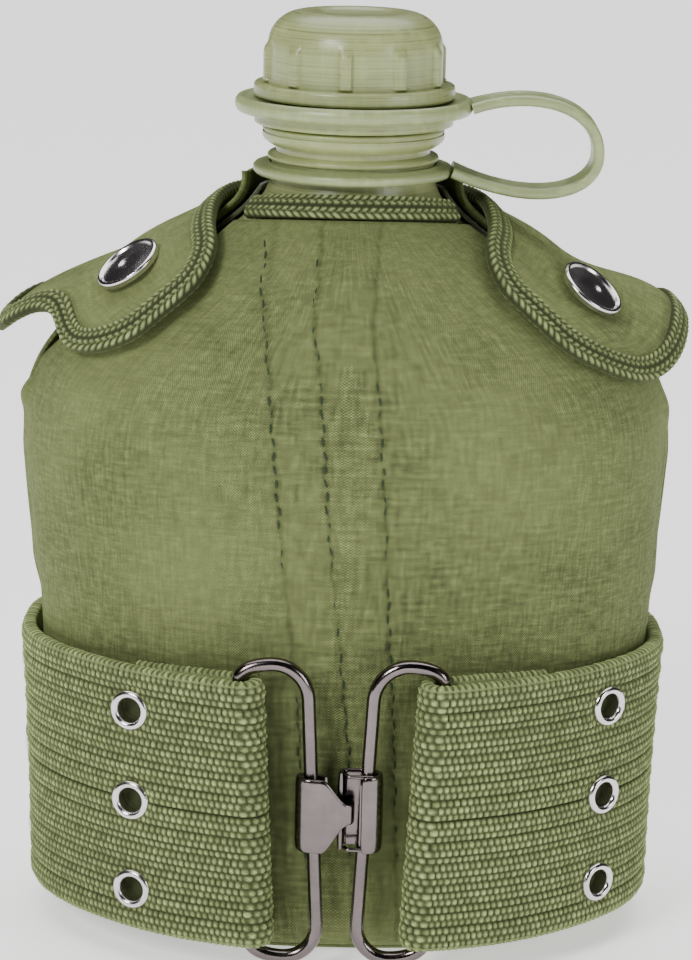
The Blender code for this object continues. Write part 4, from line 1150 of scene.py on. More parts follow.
@dataclass
class Cover:
    """The canvas cover: front and back panels, base, felt lining, seams and the front's bound top edge."""

    top_z: float = 0.1572
    droop: float = 0.0030
    back_top_z: float = 0.1640
    seam_turn: float = 0.5
    lining: float = 0.0010
    bottom_inset: float = 0.0050
    bottom_thickness: float = 0.0016
    drain_x: float = 0.0200
    drain_r: float = 0.0034
    low_z: float = 0.0042
    turn_up: float = 0.0080
    turn_up_share: float = 0.08
    wall: float = 0.0009
    seams: tuple[tuple[tuple[float, float], ...], ...] = (
        ((-15.5, 160.7), (-16.8, 151.1), (-17.9, 143.1), (-16.6, 132.9), (-15.6, 118.1), (-14.2, 102.6),
         (-12.5, 85.7), (-10.9, 72.9), (-8.7, 53.2), (-8.2, 38.0), (-6.9, 23.0), (-5.3, 11.0)),
        ((-5.8, 160.9), (-6.4, 148.9), (-7.4, 138.7), (-6.0, 129.6), (-5.0, 118.4), (-3.5, 98.7),
         (-2.0, 83.8), (-0.7, 73.1), (0.4, 60.1), (2.0, 44.4), (2.6, 25.0), (3.3, 11.0)),
        ((6.3, 161.6), (5.7, 150.8), (5.0, 138.5), (6.3, 126.1), (7.4, 113.6), (8.4, 98.9),
         (9.2, 84.0), (9.6, 73.3), (10.6, 60.4), (11.4, 42.9), (12.3, 25.2), (13.0, 11.0)),
    )
    groove: float = 0.00055
    groove_width: float = 0.0009

    def front_reach(self, z: np.ndarray) -> np.ndarray:
        """Degrees from the middle of the front to the front panel's edge."""
        bare_from = FORM.shoulder_z + 0.0170
        bare = np.clip((z - bare_from) / (self.top_z - bare_from), 0, 1)
        return 90 - self.seam_turn - 26 * bare

    def height(self, along: np.ndarray, top: Any) -> np.ndarray:
        """Heights up a panel, whose first rows turn up from the base."""
        turned_up = self.low_z + self.turn_up * (1 - np.cos(along / self.turn_up_share * np.pi / 2))
        above = lerp(self.low_z + self.turn_up, top, (along - self.turn_up_share) / (1 - self.turn_up_share))
        return np.where(along < self.turn_up_share, turned_up, above)

    def seam_x(self, number: int, z: np.ndarray) -> np.ndarray:
        """Where a front seam runs at height z."""
        xs, zs = np.array(self.seams[number]).T * MM
        at = np.interp(z, zs[::-1], xs[::-1])
        return at + 0.00022 * np.sin(z * 900 + number * 2.1) + 0.00012 * np.sin(z * 2100 + number)

    def relief(self, points: np.ndarray) -> tuple[np.ndarray, np.ndarray]:
        """How the front panel rises along its seams and puckers beside them, and the painted shade darkening
        each seam's groove.

        Args:
            points: Places on the panel.

        Returns:
            Distances out, and relief, a painted shade from 0 in a seam's groove to 1.
        """
        x, z = points[:, 0], points[:, 2]
        out = 0.0006 * np.sin(z * 46 + x * 21 + 1.3) * np.sin(x * 60 + 0.4)
        out += 0.0004 * np.sin(z * 95 - x * 70) * bump(z, 0.085, 0.05)
        shade = np.ones(len(x))
        for number in range(len(self.seams)):
            off = x - self.seam_x(number, z)
            tight = 0.75 + 0.25 * np.sin(z * math.tau / 0.0030)
            groove = bump(off, 0.0, self.groove_width)
            pull = np.sin(z * math.tau / 0.0085 + 2.0 * np.sin(z * 160 + number))
            pucker = bump(off, 0.0, 0.0048) * (0.5 + 0.5 * pull)
            out += 0.00042 * pucker - self.groove * groove * tight
            # Painted shade: a thin dark line along each seam's groove, deepest where the groove is.
            shade = np.minimum(shade, 1 - 0.62 * bump(off, 0.0, 0.0005) * tight)
        return out, shade

    def edge_ridge(self, turn: np.ndarray, z: np.ndarray) -> np.ndarray:
        """The raised side seams, with a lump where the front's hem meets them."""
        near = np.minimum(np.abs(turn), np.abs(turn + 180))
        ridge = 0.0011 * bump(near, 0.0, 2.6)
        lump = 0.0016 * bump(z, 0.1150, 0.0028) * bump(near, 0.0, 5.0)
        return ridge + lump * np.where(np.abs(turn + 180) < 20, 1.0, 0.4)

    def front(self) -> None:
        """The front panel, dense where its seams run."""
        turns = np.concatenate([np.linspace(-1, -0.26, 46)[:-1], np.linspace(-0.26, 0.22, 150)[:-1],
                                np.linspace(0.22, 1, 46)])
        rows = 165

        def place(across: np.ndarray, along: np.ndarray) -> Laid:
            """A point of the front's outer face."""
            share = turns[nearest(across, len(turns) - 1)]
            top = self.top_z - self.droop * share**2
            z = self.height(along, top)
            turn = -90 + share * self.front_reach(z)
            flat = FORM.surface(turn, z, SKIN_OUT)
            out, shade = self.relief(flat)
            fade = smooth((z - 0.008) / 0.02) * smooth((top - z) / 0.006 + 0.2)
            tight = np.where((z > 0.006) & (z < 0.068), 0.35, 1.0)
            out = np.minimum(out * fade, 0.0009 * tight + 0.0001)
            out = out + self.edge_ridge(turn, z) * smooth((z - 0.070) / 0.01)
            cloth = np.stack([share * 105, z / MM * 1.05], axis=-1)
            return FORM.surface(turn, z, SKIN_OUT + out), cloth, shade

        bm = grid(len(turns) - 1, rows, place)
        piece = Piece("cover_front_panel", CANVAS_CLOTH, Body.CANTEEN, Slot.CANVAS, ("cover_front",))
        add_sheet(piece, bm, self.wall)

    def back(self) -> None:
        """The back panel, slack and slightly creased, rising behind the neck."""
        columns, rows = 120, 150

        def place(across: np.ndarray, along: np.ndarray) -> Laid:
            """A point of the back's outer face."""
            turn = lerp(self.seam_turn, 180 - self.seam_turn, across)
            z = self.height(along, self.back_top_z)
            flat = FORM.surface(turn, z, SKIN_OUT)
            out = 0.0005 * np.sin(z * 60 + flat[:, 0] * 30) * np.sin(flat[:, 0] * 55 + 1.0)
            out += 0.0003 * np.sin(z * 130 - flat[:, 0] * 60)
            out = out * np.where((z > 0.006) & (z < 0.068), 0.3, 1.0) * smooth((z - 0.008) / 0.02)
            near = np.minimum(np.abs(turn), np.abs(turn - 180))
            out = out + 0.0011 * bump(near, 0.0, 2.6) * smooth((z - 0.070) / 0.01)
            out = out + 0.0024 * smooth((z - 0.1560) / 0.009)
            cloth = np.stack([across * 210, z / MM * 1.05], axis=-1)
            return FORM.surface(turn, z, SKIN_OUT + out), cloth, np.ones(len(z))

        bm = grid(columns, rows, place)
        piece = Piece("cover_back_panel", CANVAS_CLOTH, Body.CANTEEN, Slot.CANVAS, ("cover_back",))
        add_sheet(piece, bm, self.wall)

    def linings(self) -> None:
        """The felt inside the front and the back."""
        for label, front in (("front", True), ("back", False)):

            def place(across: np.ndarray, along: np.ndarray, front: bool = front) -> Laid:
                """A point of the felt's outer face."""
                share = 2 * across - 1
                top = self.top_z - self.droop * share**2 - 0.0004 if front else self.back_top_z - 0.0022
                z = lerp(0.0060, top, along)
                behind = lerp(self.seam_turn, 180 - self.seam_turn, across)
                turn = -90 + share * self.front_reach(z) if front else behind
                wool = 0.00012 * np.sin(across * 700) * np.sin(along * 600)
                out = LINING_OUT + self.lining + wool
                return FORM.surface(turn, z, out), np.stack([share * 105, z / MM], axis=-1), np.ones(len(z))

            bm = grid(70, 80, place)
            add_sheet(Piece(f"felt_{label}", WOOL, Body.CANTEEN, Slot.FELT, (f"lining_{label}",)), bm, 0.0008)

    def bottom(self) -> None:
        """The base, sewn in, with a hole over the drain grommet."""
        sides, rings = 96, 14
        edge = np.array([0.0, 0.18, 0.5, 0.82, 1.0])
        rows = 2 * rings + len(edge) - 1
        drain = np.array([self.drain_x, 0.0])

        def place(across: np.ndarray, along: np.ndarray) -> Laid:
            """A point of the base's skin, from the drain out under it and back over it."""
            turn = np.rint(across * sides) / sides * 360 % 360
            row = nearest(along, rows)
            under = row <= rings
            over = row >= rings + len(edge) - 1
            reach = np.where(under, row / rings, np.where(over, (rows - row) / rings, 1.0))
            high = np.where(under, 0.0, np.where(over, 1.0, edge[np.clip(row - rings, 0, len(edge) - 1)]))
            swell = 0.0006 * np.sin(high * np.pi)
            rim = FORM.outline(turn, FORM.base_z, self.bottom_inset - swell)[:, :2]
            way = np.radians(turn)
            ring = drain + self.drain_r * np.stack([np.cos(way), np.sin(way)], axis=-1)
            flat = lerp(ring, rim, reach[:, None])
            slack = np.where(under, 0.00012 * np.sin(reach * 18), 0.0) * (reach < 0.98)
            z = high * self.bottom_thickness + slack
            points = np.concatenate([flat, np.maximum(z, 0.0)[:, None]], axis=-1)
            return points, flat / MM, np.ones(len(z))

        bm = grid(sides, rows, place, weld=True)
        bmesh.ops.bridge_loops(bm, edges=[edge_of for edge_of in bm.edges if edge_of.is_boundary])
        Piece("cover_base", CANVAS_CLOTH, Body.CANTEEN, Slot.CANVAS, ("cover_bottom",), 50).add(face_out(bm))

    def stitching(self) -> None:
        """The thread in the front's three seams."""
        bm = bmesh.new()
        thread = Stitching()
        for number in range(len(self.seams)):
            z = np.linspace(0.1525, 0.0120, 260)
            turn = FORM.turn_at(self.seam_x(number, z), z)
            out = SKIN_OUT - 0.00022
            thread.sew(bm, FORM.surface(turn, z, out), FORM.facing(turn, z))
        add_thread("front_seam_thread", bm, Body.CANTEEN)

    def bindings(self) -> None:
        """The tape over the front's top edge, and the tape behind the neck."""
        share = np.linspace(-1, 1, 61)
        z = self.top_z - self.droop * share**2 + 0.0031
        turn = -90 + share * self.front_reach(z - 0.0031)
        line = FORM.surface(turn, z, CANVAS_OUT + CANVAS / 2)
        nodes = ("front_top_tape",)
        Braid(width=0.0054).lay("front_binding", line, FORM.facing(turn, z), Body.CANTEEN, nodes)
        turn = np.linspace(34, 146, 61)
        rise = smooth((turn - 34) / 26) * smooth((146 - turn) / 26)
        z = lerp(0.1600, 0.1664, rise)
        line = FORM.level(turn, np.minimum(z, 0.1640), lerp(0.0046, 0.0068, rise))
        line[:, 2] = z
        normals = FORM.facing(turn, np.full(len(turn), 0.150))
        Braid(width=0.0054, thickness=0.0026).lay("back_binding", line, normals, Body.CANTEEN, ())

    def build(self) -> None:
        """Makes every piece of the cover but its flaps."""
        self.front()
        self.back()
        self.linings()
        self.bottom()
        self.stitching()
        self.bindings()


def add_sheet(piece: Piece, bm: bmesh.types.BMesh, wall: float) -> bpy.types.Object:
    """Makes an open sheet, its faces turned away from the middle so that its wall grows inwards."""
    bmesh.ops.recalc_face_normals(bm, faces=bm.faces[:])
    made = piece.add(bm, wall)
    total = sum(poly.area * (poly.center[0] * poly.normal[0] + poly.center[1] * poly.normal[1])
                for poly in made.data.polygons)
    if total < 0:
        made.data.flip_normals()
    return made


def add_thread(name: str, bm: bmesh.types.BMesh, body: Body) -> None:
    """Makes an object of a mesh of stitches, with plain cloth coordinates."""
    uv_layer = bm.loops.layers.uv.new("cloth")
    painted_shade_layer = bm.verts.layers.float.new("relief")
    for vert in bm.verts:
        vert[painted_shade_layer] = 1.0
    for face in bm.faces:
        for loop in face.loops:
            loop[uv_layer].uv = (loop.vert.co.x / MM, loop.vert.co.z / MM)
    Piece(name, THREAD, body, Slot.CANVAS, (), crease=80).add(face_out(bm))


# ---- Flaps ----


@dataclass
class Flap:
    """A canvas flap that wraps a shoulder from the back to its snap in front, bound in tape."""

    side: Side
    back_turn: float = 38.0
    front_turn: float = 52.0
    tip_turn: float = 42.0
    neck_z: float = 0.1570
    front_z: float = 0.1460
    hem_z: float = 0.1265
    low_out: float = 0.0054
    out: float = 0.0070
    ear: float = 0.0090
    ear_drop: float = 0.0050
    ear_drop_at: float = 0.42
    ear_drop_width: float = 0.11
    ear_end: float = 0.80
    corner_r: float = 0.0090
    hem_wave: float = 0.0028
    wave_at: float = 0.62
    wave_width: float = 0.11
    snap_across: float = 0.5
    snap_from_front: float = 0.0165
    tape_width: float = 0.0052

    def spot(self, across: Any, along: Any) -> tuple[np.ndarray, np.ndarray]:
        """Turn and height on the flask of a flap's point.

        Args:
            across: 0 at the neck to 1 at the hem.
            along: 0 at the back to 1 at the front.

        Returns:
            Degrees round, and heights.
        """
        across, along = np.broadcast_arrays(np.asarray(across, float), np.asarray(along, float))
        front = lerp(self.front_turn, self.tip_turn, across**2)
        turn = lerp(self.back_turn, -front, along)
        high = lerp(self.neck_z, self.front_z, along**2)
        hem = self.hem_z + self.hem_wave * bump(along, self.wave_at, self.wave_width)
        hem -= self.ear_drop * bump(along, self.ear_drop_at, self.ear_drop_width)
        return (turn if self.side is Side.RIGHT else 180 - turn), lerp(high, hem, across)

    def stand(self, across: Any, along: Any) -> np.ndarray:
        """How far the inside of the flap stands out from the flask."""
        over_snap = smooth(along / 0.35) * np.sin(np.pi * np.clip(across, 0.1, 0.9))
        ear = smooth((across - 0.45) / 0.55) * np.sin(np.pi * np.clip(along / self.ear_end, 0.0, 1.0)) ** 2
        return lerp(self.low_out, self.out, over_snap) + self.ear * ear

    def reach_across(self, along: Any) -> np.ndarray:
        """Distance from the neck edge to the hem."""
        near = FORM.surface(*self.spot(0.0, along))
        far = FORM.surface(*self.spot(1.0, along))
        return np.linalg.norm(near - far, axis=-1)

    def reach_along(self) -> float:
        """Length along the middle, from back to front."""
        stops = FORM.surface(*self.spot(0.5, np.linspace(0, 1, 9)))
        return float(np.linalg.norm(np.diff(stops, axis=0), axis=1).sum())

    def inset_outline(self, inset: float, corner_r: float,
                      before_front: np.ndarray) -> tuple[np.ndarray, np.ndarray]:
        """Where an inset outline with round front corners starts.

        Args:
            inset: Distance in from the edge.
            corner_r: The corners' radius.
            before_front: Distances back from the outline's front.

        Returns:
            The share across of the outline's neck side, and the share along of its row.
        """
        along = 1 - (inset + before_front) / self.reach_along()
        into = np.clip(corner_r - before_front, 0.0, corner_r)
        drawn_in = corner_r - np.sqrt(corner_r**2 - into**2)
        return (inset + drawn_in) / self.reach_across(along), along

    def hinge(self) -> tuple[np.ndarray, np.ndarray]:
        """The middle of the flap's fold line, and the way from it into the flap."""
        low = FORM.surface(*self.spot(1.0, 0.0), self.low_out)
        high = FORM.surface(*self.spot(0.0, 0.0), self.low_out)
        inward = FORM.surface(*self.spot(0.5, 0.10), self.low_out) - (low + high) / 2
        return (low + high) / 2, unit(inward)

    def join(self, piece: bpy.types.Object) -> None:
        """Works out the fold line where the flap leaves the back panel, which is not used, and bakes the
        piece's placement into its mesh.
        """
        middle, inward = self.hinge()
        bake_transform(piece)

    def cloth(self) -> None:
        """The canvas, running under its tape and back onto the cover."""
        inset, corner_r = self.tape_width * 0.35, self.corner_r * 0.8
        behind = 0.0055 / self.reach_along()
        curved = corner_r * (1 - np.sin(np.radians(np.linspace(90, 0, 12))))
        straight = np.linspace(corner_r, self.reach_along() * (1 + behind) - inset, 90)[1:]
        before = np.concatenate([curved, straight])[::-1]
        edges, alongs = self.inset_outline(inset, corner_r, before)
        phase = 0.7 if self.side is Side.LEFT else 2.3

        def place(across: np.ndarray, share: np.ndarray) -> Laid:
            """A point of the canvas's outer face."""
            row = nearest(share, len(before) - 1)
            along = alongs[row]
            wide = lerp(edges[row], 1 - edges[row], across)
            turn, z = self.spot(wide, along)
            held = np.clip(along, 0.0, 1.0)
            stand = self.stand(wide, held)
            back = smooth((0.06 - along) / 0.16)
            stand = lerp(stand, SKIN_OUT + 0.0003, back)
            ripple = 0.0007 * np.sin(held * 17 + wide * 5 + phase) * np.sin(wide * 3.0 + 0.2)
            ripple += 0.0004 * np.sin(held * 31 - wide * 9 + phase)
            fade = smooth((along - 0.08) / 0.2) * smooth((1 - along) / 0.25)
            fade = fade * np.sin(np.pi * np.clip(wide, 0, 1))
            near_tape = np.minimum(wide, 1 - wide) * self.reach_across(held)
            # Painted shade: the canvas darkens towards its tape, under the tape's edge.
            shade = 0.55 + 0.45 * smooth((near_tape - self.tape_width * 0.9) / 0.0025)
            cloth = np.stack([along * 95 + across * 3, wide * 40], axis=-1)
            return FORM.surface(turn, z, stand + CANVAS + ripple * fade), cloth, shade

        bm = grid(46, len(before) - 1, place)
        label = self.side.label
        piece = Piece(f"flap_{label}_canvas", CANVAS_CLOTH, None, Slot.CANVAS, (f"flap_{label}",))
        self.join(add_sheet(piece, bm, CANVAS))

    def binding(self) -> None:
        """The tape round the neck, front and hem edges."""
        inset = self.tape_width / 2
        behind = 0.0085
        straight = np.linspace(self.reach_along() + behind - inset, self.corner_r, 60)
        curved = self.corner_r * (1 - np.sin(np.radians(np.linspace(0, 90, 24)[1:])))
        before = np.concatenate([straight, curved])
        edges, alongs = self.inset_outline(inset, self.corner_r, before)
        across = np.concatenate([edges, 1 - edges[::-1]])
        along = np.concatenate([alongs, alongs[::-1]])
        turn, z = self.spot(across, along)
        held = np.clip(along, 0.0, 1.0)
        stand = lerp(self.stand(across, held), SKIN_OUT + 0.0016, smooth((0.04 - along) / 0.12)) + CANVAS / 2
        line = FORM.surface(turn, z, stand)
        label = self.side.label
        made = Braid().lay(f"flap_{label}_binding", line, FORM.facing(turn, z), None, (f"flap_tape_{label}",))
        self.join(made)

    def snap(self) -> None:
        """The snap: its cap on the flap, the socket behind, and the stud on the cover."""
        label = self.side.label
        body = Body.LEFT_FLAP if self.side is Side.LEFT else Body.RIGHT_FLAP
        along = 1 - self.snap_from_front / self.reach_along()
        turn, z = self.spot(self.snap_across, along)
        foot, normal = FORM.surface(turn, z), FORM.facing(turn, z)
        stand = float(self.stand(self.snap_across, along))
        rim, high = 0.0075, 0.0016
        profile = [(0.0, 0.62 * high), (0.0013, 0.64 * high), (0.0019, 0.80 * high), (0.0026, 0.84 * high),
                   (0.0042, 0.80 * high), (0.0056, 0.66 * high), (0.0061, 0.64 * high)]
        for turn_on in range(150, -31, -20):
            profile.append((rim - 0.0006 + 0.0006 * math.cos(math.radians(turn_on)),
                            0.62 * high + 0.0006 * math.sin(math.radians(turn_on))))
        profile += [(rim - 0.0002, 0.0), (0.0, 0.0)]
        bm = stand_on(turned(profile, 72, closed=False), foot + normal * (stand + CANVAS + 1.5 * GAP), normal)
        Piece(f"snap_{label}_cap", NICKEL, body, Slot.NICKEL, (f"snap_cap_{label}",), 30).add(bm)
        socket = [(0.0036, 0.0), (0.0049, 0.0), (0.0052, 0.0003), (0.0052, 0.0013), (0.0049, 0.0016),
                  (0.0040, 0.0016), (0.0036, 0.0012)]
        bm = stand_on(turned(socket, 48), foot + normal * (stand - 2 * GAP - 0.0016), normal)
        Piece(f"snap_{label}_socket", NICKEL, body, Slot.NICKEL, (f"snap_socket_{label}",), 30).add(bm)
        stud = [(0.0, 0.0), (0.0043, 0.0), (0.0045, 0.0002), (0.0044, 0.0005), (0.0018, 0.0005),
                (0.0016, 0.0008), (0.0018, 0.0011), (0.0015, 0.0014), (0.0, 0.0014)]
        bm = stand_on(turned(stud, 48, closed=False), foot + normal * (SKIN_OUT + GAP), normal)
        Piece(f"snap_{label}_stud", NICKEL, Body.CANTEEN, Slot.NICKEL, (f"snap_stud_{label}",), 30).add(bm)

    def build(self) -> None:
        """Makes the flap's pieces."""
        self.cloth()
        self.binding()
        self.snap()


# ---- Belt ----


class BeltPart(Enum):
    """The belt's stretches, named for their places: each is a piece of its own."""

    LEFT = "left"
    BACK = "back"
    RIGHT = "right"


@dataclass
class Belt:
    """The ribbed web belt, folded round the buckle's wires, with its eyelets."""

    width: float = 0.0570
    thickness: float = 0.0028
    low_z: float = 0.0075
    ease: float = 0.0012
    loop_x: float = 0.0200
    lean: float = 0.05
    wire_r: float = 0.0015
    tail_end_x: float = 0.0410
    settle_x: float = 0.0600
    fold_ease: float = 0.0100
    ribs: int = 12
    rows: int = 3
    yarn: float = 0.00138
    rib_height: float = 0.00055
    yarn_height: float = 0.00066
    eyelet_flat_r: float = 0.0050
    hole_r: float = 0.0029
    step: float = 0.00030
    eyelet_in_r: float = 0.0026
    eyelet_out_r: float = 0.0044
    eyelet_roll: float = 0.0010
    eyelet_sink: float = 0.0006
    eyelets: list[tuple[np.ndarray, np.ndarray]] = field(default_factory=list)

    def __post_init__(self) -> None:
        """Works out how far the belt's layers lie from the flask."""
        self.out = SKIN_OUT + self.ease + self.thickness / 2
        self.fold_r = self.wire_r + RUN + self.thickness / 2
        self.front_out = self.out + 2 * self.fold_r
        self.wire_y = -(FORM.front_depth + self.out + self.fold_r)
        self.middle_z = self.low_z + self.width / 2
        stops = np.linspace(-2, 3, 6001)
        line = self.midline(stops, np.full(len(stops), self.middle_z))
        self.stops, self.lengths = stops, lengths_along(line)

    def bar(self, sign: int, x: float, z: Any) -> np.ndarray:
        """The middle of a leaning bar of the buckle."""
        z = np.asarray(z, float)
        bar_x = sign * (x + self.lean * (z - self.middle_z))
        return np.stack([bar_x, np.full_like(z, self.wire_y), z], axis=-1)

    def midline(self, stop: np.ndarray, z: np.ndarray) -> np.ndarray:
        """Points of the belt's middle layer.

        Args:
            stop: -2 to -1 on the left tail, to 0 round the left fold, to 1 round the flask, to 2 round the
                right fold, and to 3 on the right tail.
            z: Heights.

        Returns:
            The points.
        """
        stop, z = np.broadcast_arrays(np.asarray(stop, float), np.asarray(z, float))
        bars = {sign: self.bar(sign, self.loop_x, z) for sign in (-1, 1)}
        ends = {sign: FORM.turn_at(bars[sign][..., 0], z) for sign in (-1, 1)}
        turn = lerp(ends[-1], ends[1] - 360, np.clip(stop, 0, 1))
        x = FORM.outline(turn, z)[..., 0]
        settle = smooth((np.abs(x) - self.loop_x) / (self.settle_x - self.loop_x))
        in_front = np.sin(np.radians(turn)) < 0
        points = FORM.level(turn, z, np.where(in_front, lerp(self.front_out, self.out, settle), self.out))
        for sign, tail_from, fold_from in ((-1, -2.0, -1.0), (1, 3.0, 2.0)):
            bar, end = bars[sign], ends[sign]
            reach = np.array([0.0, self.fold_r, 0.0])
            apart = np.abs(points[..., 0] - bar[..., 0]) + np.where(in_front, 0.0, 1.0)
            near = smooth(1 - apart / self.fold_ease)[..., None]
            points = points + near * (bar - reach - FORM.level(end, z, self.front_out))
            tail_x = lerp(sign * self.tail_end_x, bar[..., 0], np.clip(np.abs(stop - tail_from), 0, 1))
            near = smooth(1 - np.abs(tail_x - bar[..., 0]) / self.fold_ease)[..., None]
            tail = FORM.level(FORM.turn_at(tail_x, z), z, self.out)
            tail = tail + near * (bar + reach - FORM.level(end, z, self.out))
            angle = np.radians(90 + sign * 180 * np.clip(np.abs(stop - fold_from), 0, 1))
            fold = bar + self.fold_r * np.stack([np.cos(angle), np.sin(angle), np.zeros_like(angle)], axis=-1)
            on_tail = stop < -1 if sign < 0 else stop > 2
            on_fold = (stop >= -1) & (stop < 0) if sign < 0 else (stop > 1) & (stop <= 2)
            points = np.where(on_tail[..., None], tail, np.where(on_fold[..., None], fold, points))
        return points

    def length_at_side(self, sign: int) -> float:
        """Length of belt from the left tail to where a side's stretch ends."""
        line = self.midline(self.stops, np.full(len(self.stops), self.middle_z))
        good = (line[:, 1] > -0.004) & (line[:, 1] < 0.004) & (np.sign(line[:, 0]) == sign)
        return float(self.lengths[good].mean())

    def weave(self, run: np.ndarray, z: np.ndarray) -> tuple[np.ndarray, np.ndarray]:
        """The ribs and yarns of the webbing.

        Args:
            run: Distance along the belt.
            z: Heights.

        Returns:
            Heights out, and relief from 0 between yarns to 1: painted shade in the gaps and rib grooves,
            varied yarn by yarn.
        """
        share = (z - self.low_z) / self.width
        rib = np.abs(np.sin(np.pi * share * self.ribs)) ** 0.55
        line = share * self.ribs * self.rows
        row = np.floor(line)
        inside = line - row
        wander = 0.12 * np.sin(run * 410 + row * 1.7)
        phase = run / self.yarn + 0.5 * (row % 2) + wander
        cell = np.floor(phase) + 977 * row
        uneven = 0.70 + 0.30 * scatter(cell)
        yarn = np.sin(np.pi * (phase - np.floor(phase))) ** 0.8 * np.sin(np.pi * inside) ** 0.6
        high = self.rib_height * rib + self.yarn_height * yarn * uneven
        # Painted shade between the yarns and in the ribs' grooves, scaled by each yarn's random tone.
        relief = np.clip(1.15 * yarn * lerp(0.75, 1.0, rib) * uneven, 0, 1)
        return high, relief

    def find_eyelets(self) -> None:
        """Where each eyelet lies, from the boxes of its node, and which way it faces."""
        for column in range(1, 7):
            for row in range(1, 4):
                low, high = (np.array(corner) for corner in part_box(f"eyelet_{column}_{row}"))
                middle = (low + high) / 2
                turn = np.linspace(0, 360, 1441)
                ring = FORM.level(turn, np.full(len(turn), middle[2]), self.out)
                near = turn[np.argmin(np.linalg.norm(ring - middle, axis=1))]
                ahead, behind = FORM.outline(near + 2, middle[2]), FORM.outline(near - 2, middle[2])
                tangent = unit(ahead - behind)
                self.eyelets.append((middle, np.array([tangent[1], -tangent[0], 0.0])))

    def stretch(self, part: BeltPart) -> None:
        """Makes one stretch of webbing."""
        left, right = self.length_at_side(-1), self.length_at_side(1)
        ends = {BeltPart.LEFT: (0.0, left), BeltPart.BACK: (left, right),
                BeltPart.RIGHT: (right, self.lengths[-1])}
        start, end = ends[part]
        fine = part is not BeltPart.BACK
        rows = int((end - start) / (self.step if fine else 0.00042))
        run = np.linspace(start, end, rows + 1)
        stop = np.interp(run, self.lengths, self.stops)
        faces = int(self.width / (0.00036 if fine else 0.00044))
        high_z = self.low_z + self.width
        edge = np.linspace(0, np.pi, 7)
        half = self.thickness / 2
        z_ring = np.concatenate([np.linspace(self.low_z, high_z, faces + 1)[1:-1],
                                 high_z + 0.0006 * np.sin(edge), np.linspace(high_z, self.low_z, 15)[1:-1],
                                 self.low_z - 0.0006 * np.sin(edge)])
        out_ring = np.concatenate([np.full(faces - 1, half), half * np.cos(edge), np.full(13, -half),
                                   -half * np.cos(edge)])
        count = len(z_ring)
        outside = np.arange(count) < faces - 1
        base = self.midline(np.repeat(stop[:, None], count, 1), np.repeat(z_ring[None, :], rows + 1, 0))
        along = unit(np.gradient(base, axis=0))
        normal = np.stack([-along[..., 1], along[..., 0], np.zeros(along.shape[:2])], axis=-1)
        high, relief = self.weave(run[:, None], z_ring[None, :])
        tail = smooth(np.minimum(stop + 1.0, 2.0 - stop) / 0.15)[:, None]
        raised = (high - self.rib_height * 0.75) * lerp(0.25, 1.0, tail)
        flat_points = base + normal * half
        for middle, _ in self.eyelets:
            apart = np.linalg.norm(flat_points - middle, axis=-1)
            ring = smooth((self.eyelet_flat_r + 0.0012 - apart) / 0.0012)
            raised = lerp(raised, -0.0001, ring)
            pit = smooth((self.hole_r + 0.0003 - apart) / 0.0005)
            raised = lerp(raised, -0.0022, pit)
            # Painted shade fills each eyelet's pit.
            relief = lerp(relief, 0.0, pit)
        offset = out_ring[None, :] + np.where(outside[None, :], raised, 0.0)
        edge_z = np.where(z_ring > self.middle_z, high_z - 0.0008, self.low_z + 0.0008)
        edge_wave = self.weave(run[:, None], edge_z[None, :])
        rim = (~outside[None, :]) & (np.abs(out_ring[None, :]) < half * 0.98)
        lift = np.where(rim, (edge_wave[0] - self.rib_height * 0.7) * 0.7, 0.0)
        lift = lift * np.sign(z_ring - self.middle_z)[None, :]
        solid = base + normal * offset[..., None]
        solid[..., 2] += lift
        # Painted shade on the edges follows their yarns; the inner face takes an even painted shade of 0.7.
        relief = np.where(outside[None, :], relief, np.where(rim, edge_wave[1], 0.7))

        def place(across: np.ndarray, share: np.ndarray) -> Laid:
            """A point of the webbing's skin."""
            row = nearest(share, rows)
            spot = nearest(across, count) % count
            cloth = np.stack([run[row], z_ring[spot] + np.where(outside[spot], 0.0, 0.1)], axis=-1) / MM
            return solid[row, spot], cloth, relief[row, spot]

        bm = face_out(cap_ends(grid(count, rows, place, weld=True)))
        Piece(f"belt_{part.value}", WEB_CLOTH, Body.CANTEEN, Slot.WEBBING, ("belt_web",), crease=80).add(bm)

    def make_eyelets(self) -> None:
        """The rolled eyelets and their barrels."""
        half = self.thickness / 2
        inner, outer = self.eyelet_in_r, self.eyelet_out_r
        names = [f"{column}_{row}" for column in range(1, 7) for row in range(1, 4)]
        for name, (middle, normal) in zip(names, self.eyelets):
            profile = [(inner, -half), (inner + 0.0004, -half), (inner + 0.0004, half - 0.0001),
                       (outer, half - 0.0001)]
            roll = (outer - inner) / 2
            for turn in range(0, 181, 20):
                profile.append((inner + roll + roll * math.cos(math.radians(turn)),
                                half + 0.0001 + self.eyelet_roll * math.sin(math.radians(turn))))
            bm = stand_on(turned(profile, 48), middle - normal * self.eyelet_sink, normal)
            piece = Piece(f"eyelet_ring_{name}", NICKEL, Body.CANTEEN, Slot.NICKEL, (f"eyelet_{name}",), 40)
            piece.add(bm)

    def build(self) -> None:
        """Makes the belt and its eyelets."""
        self.find_eyelets()
        for part in BeltPart:
            self.stretch(part)
        self.make_eyelets()


# ---- Buckle ----


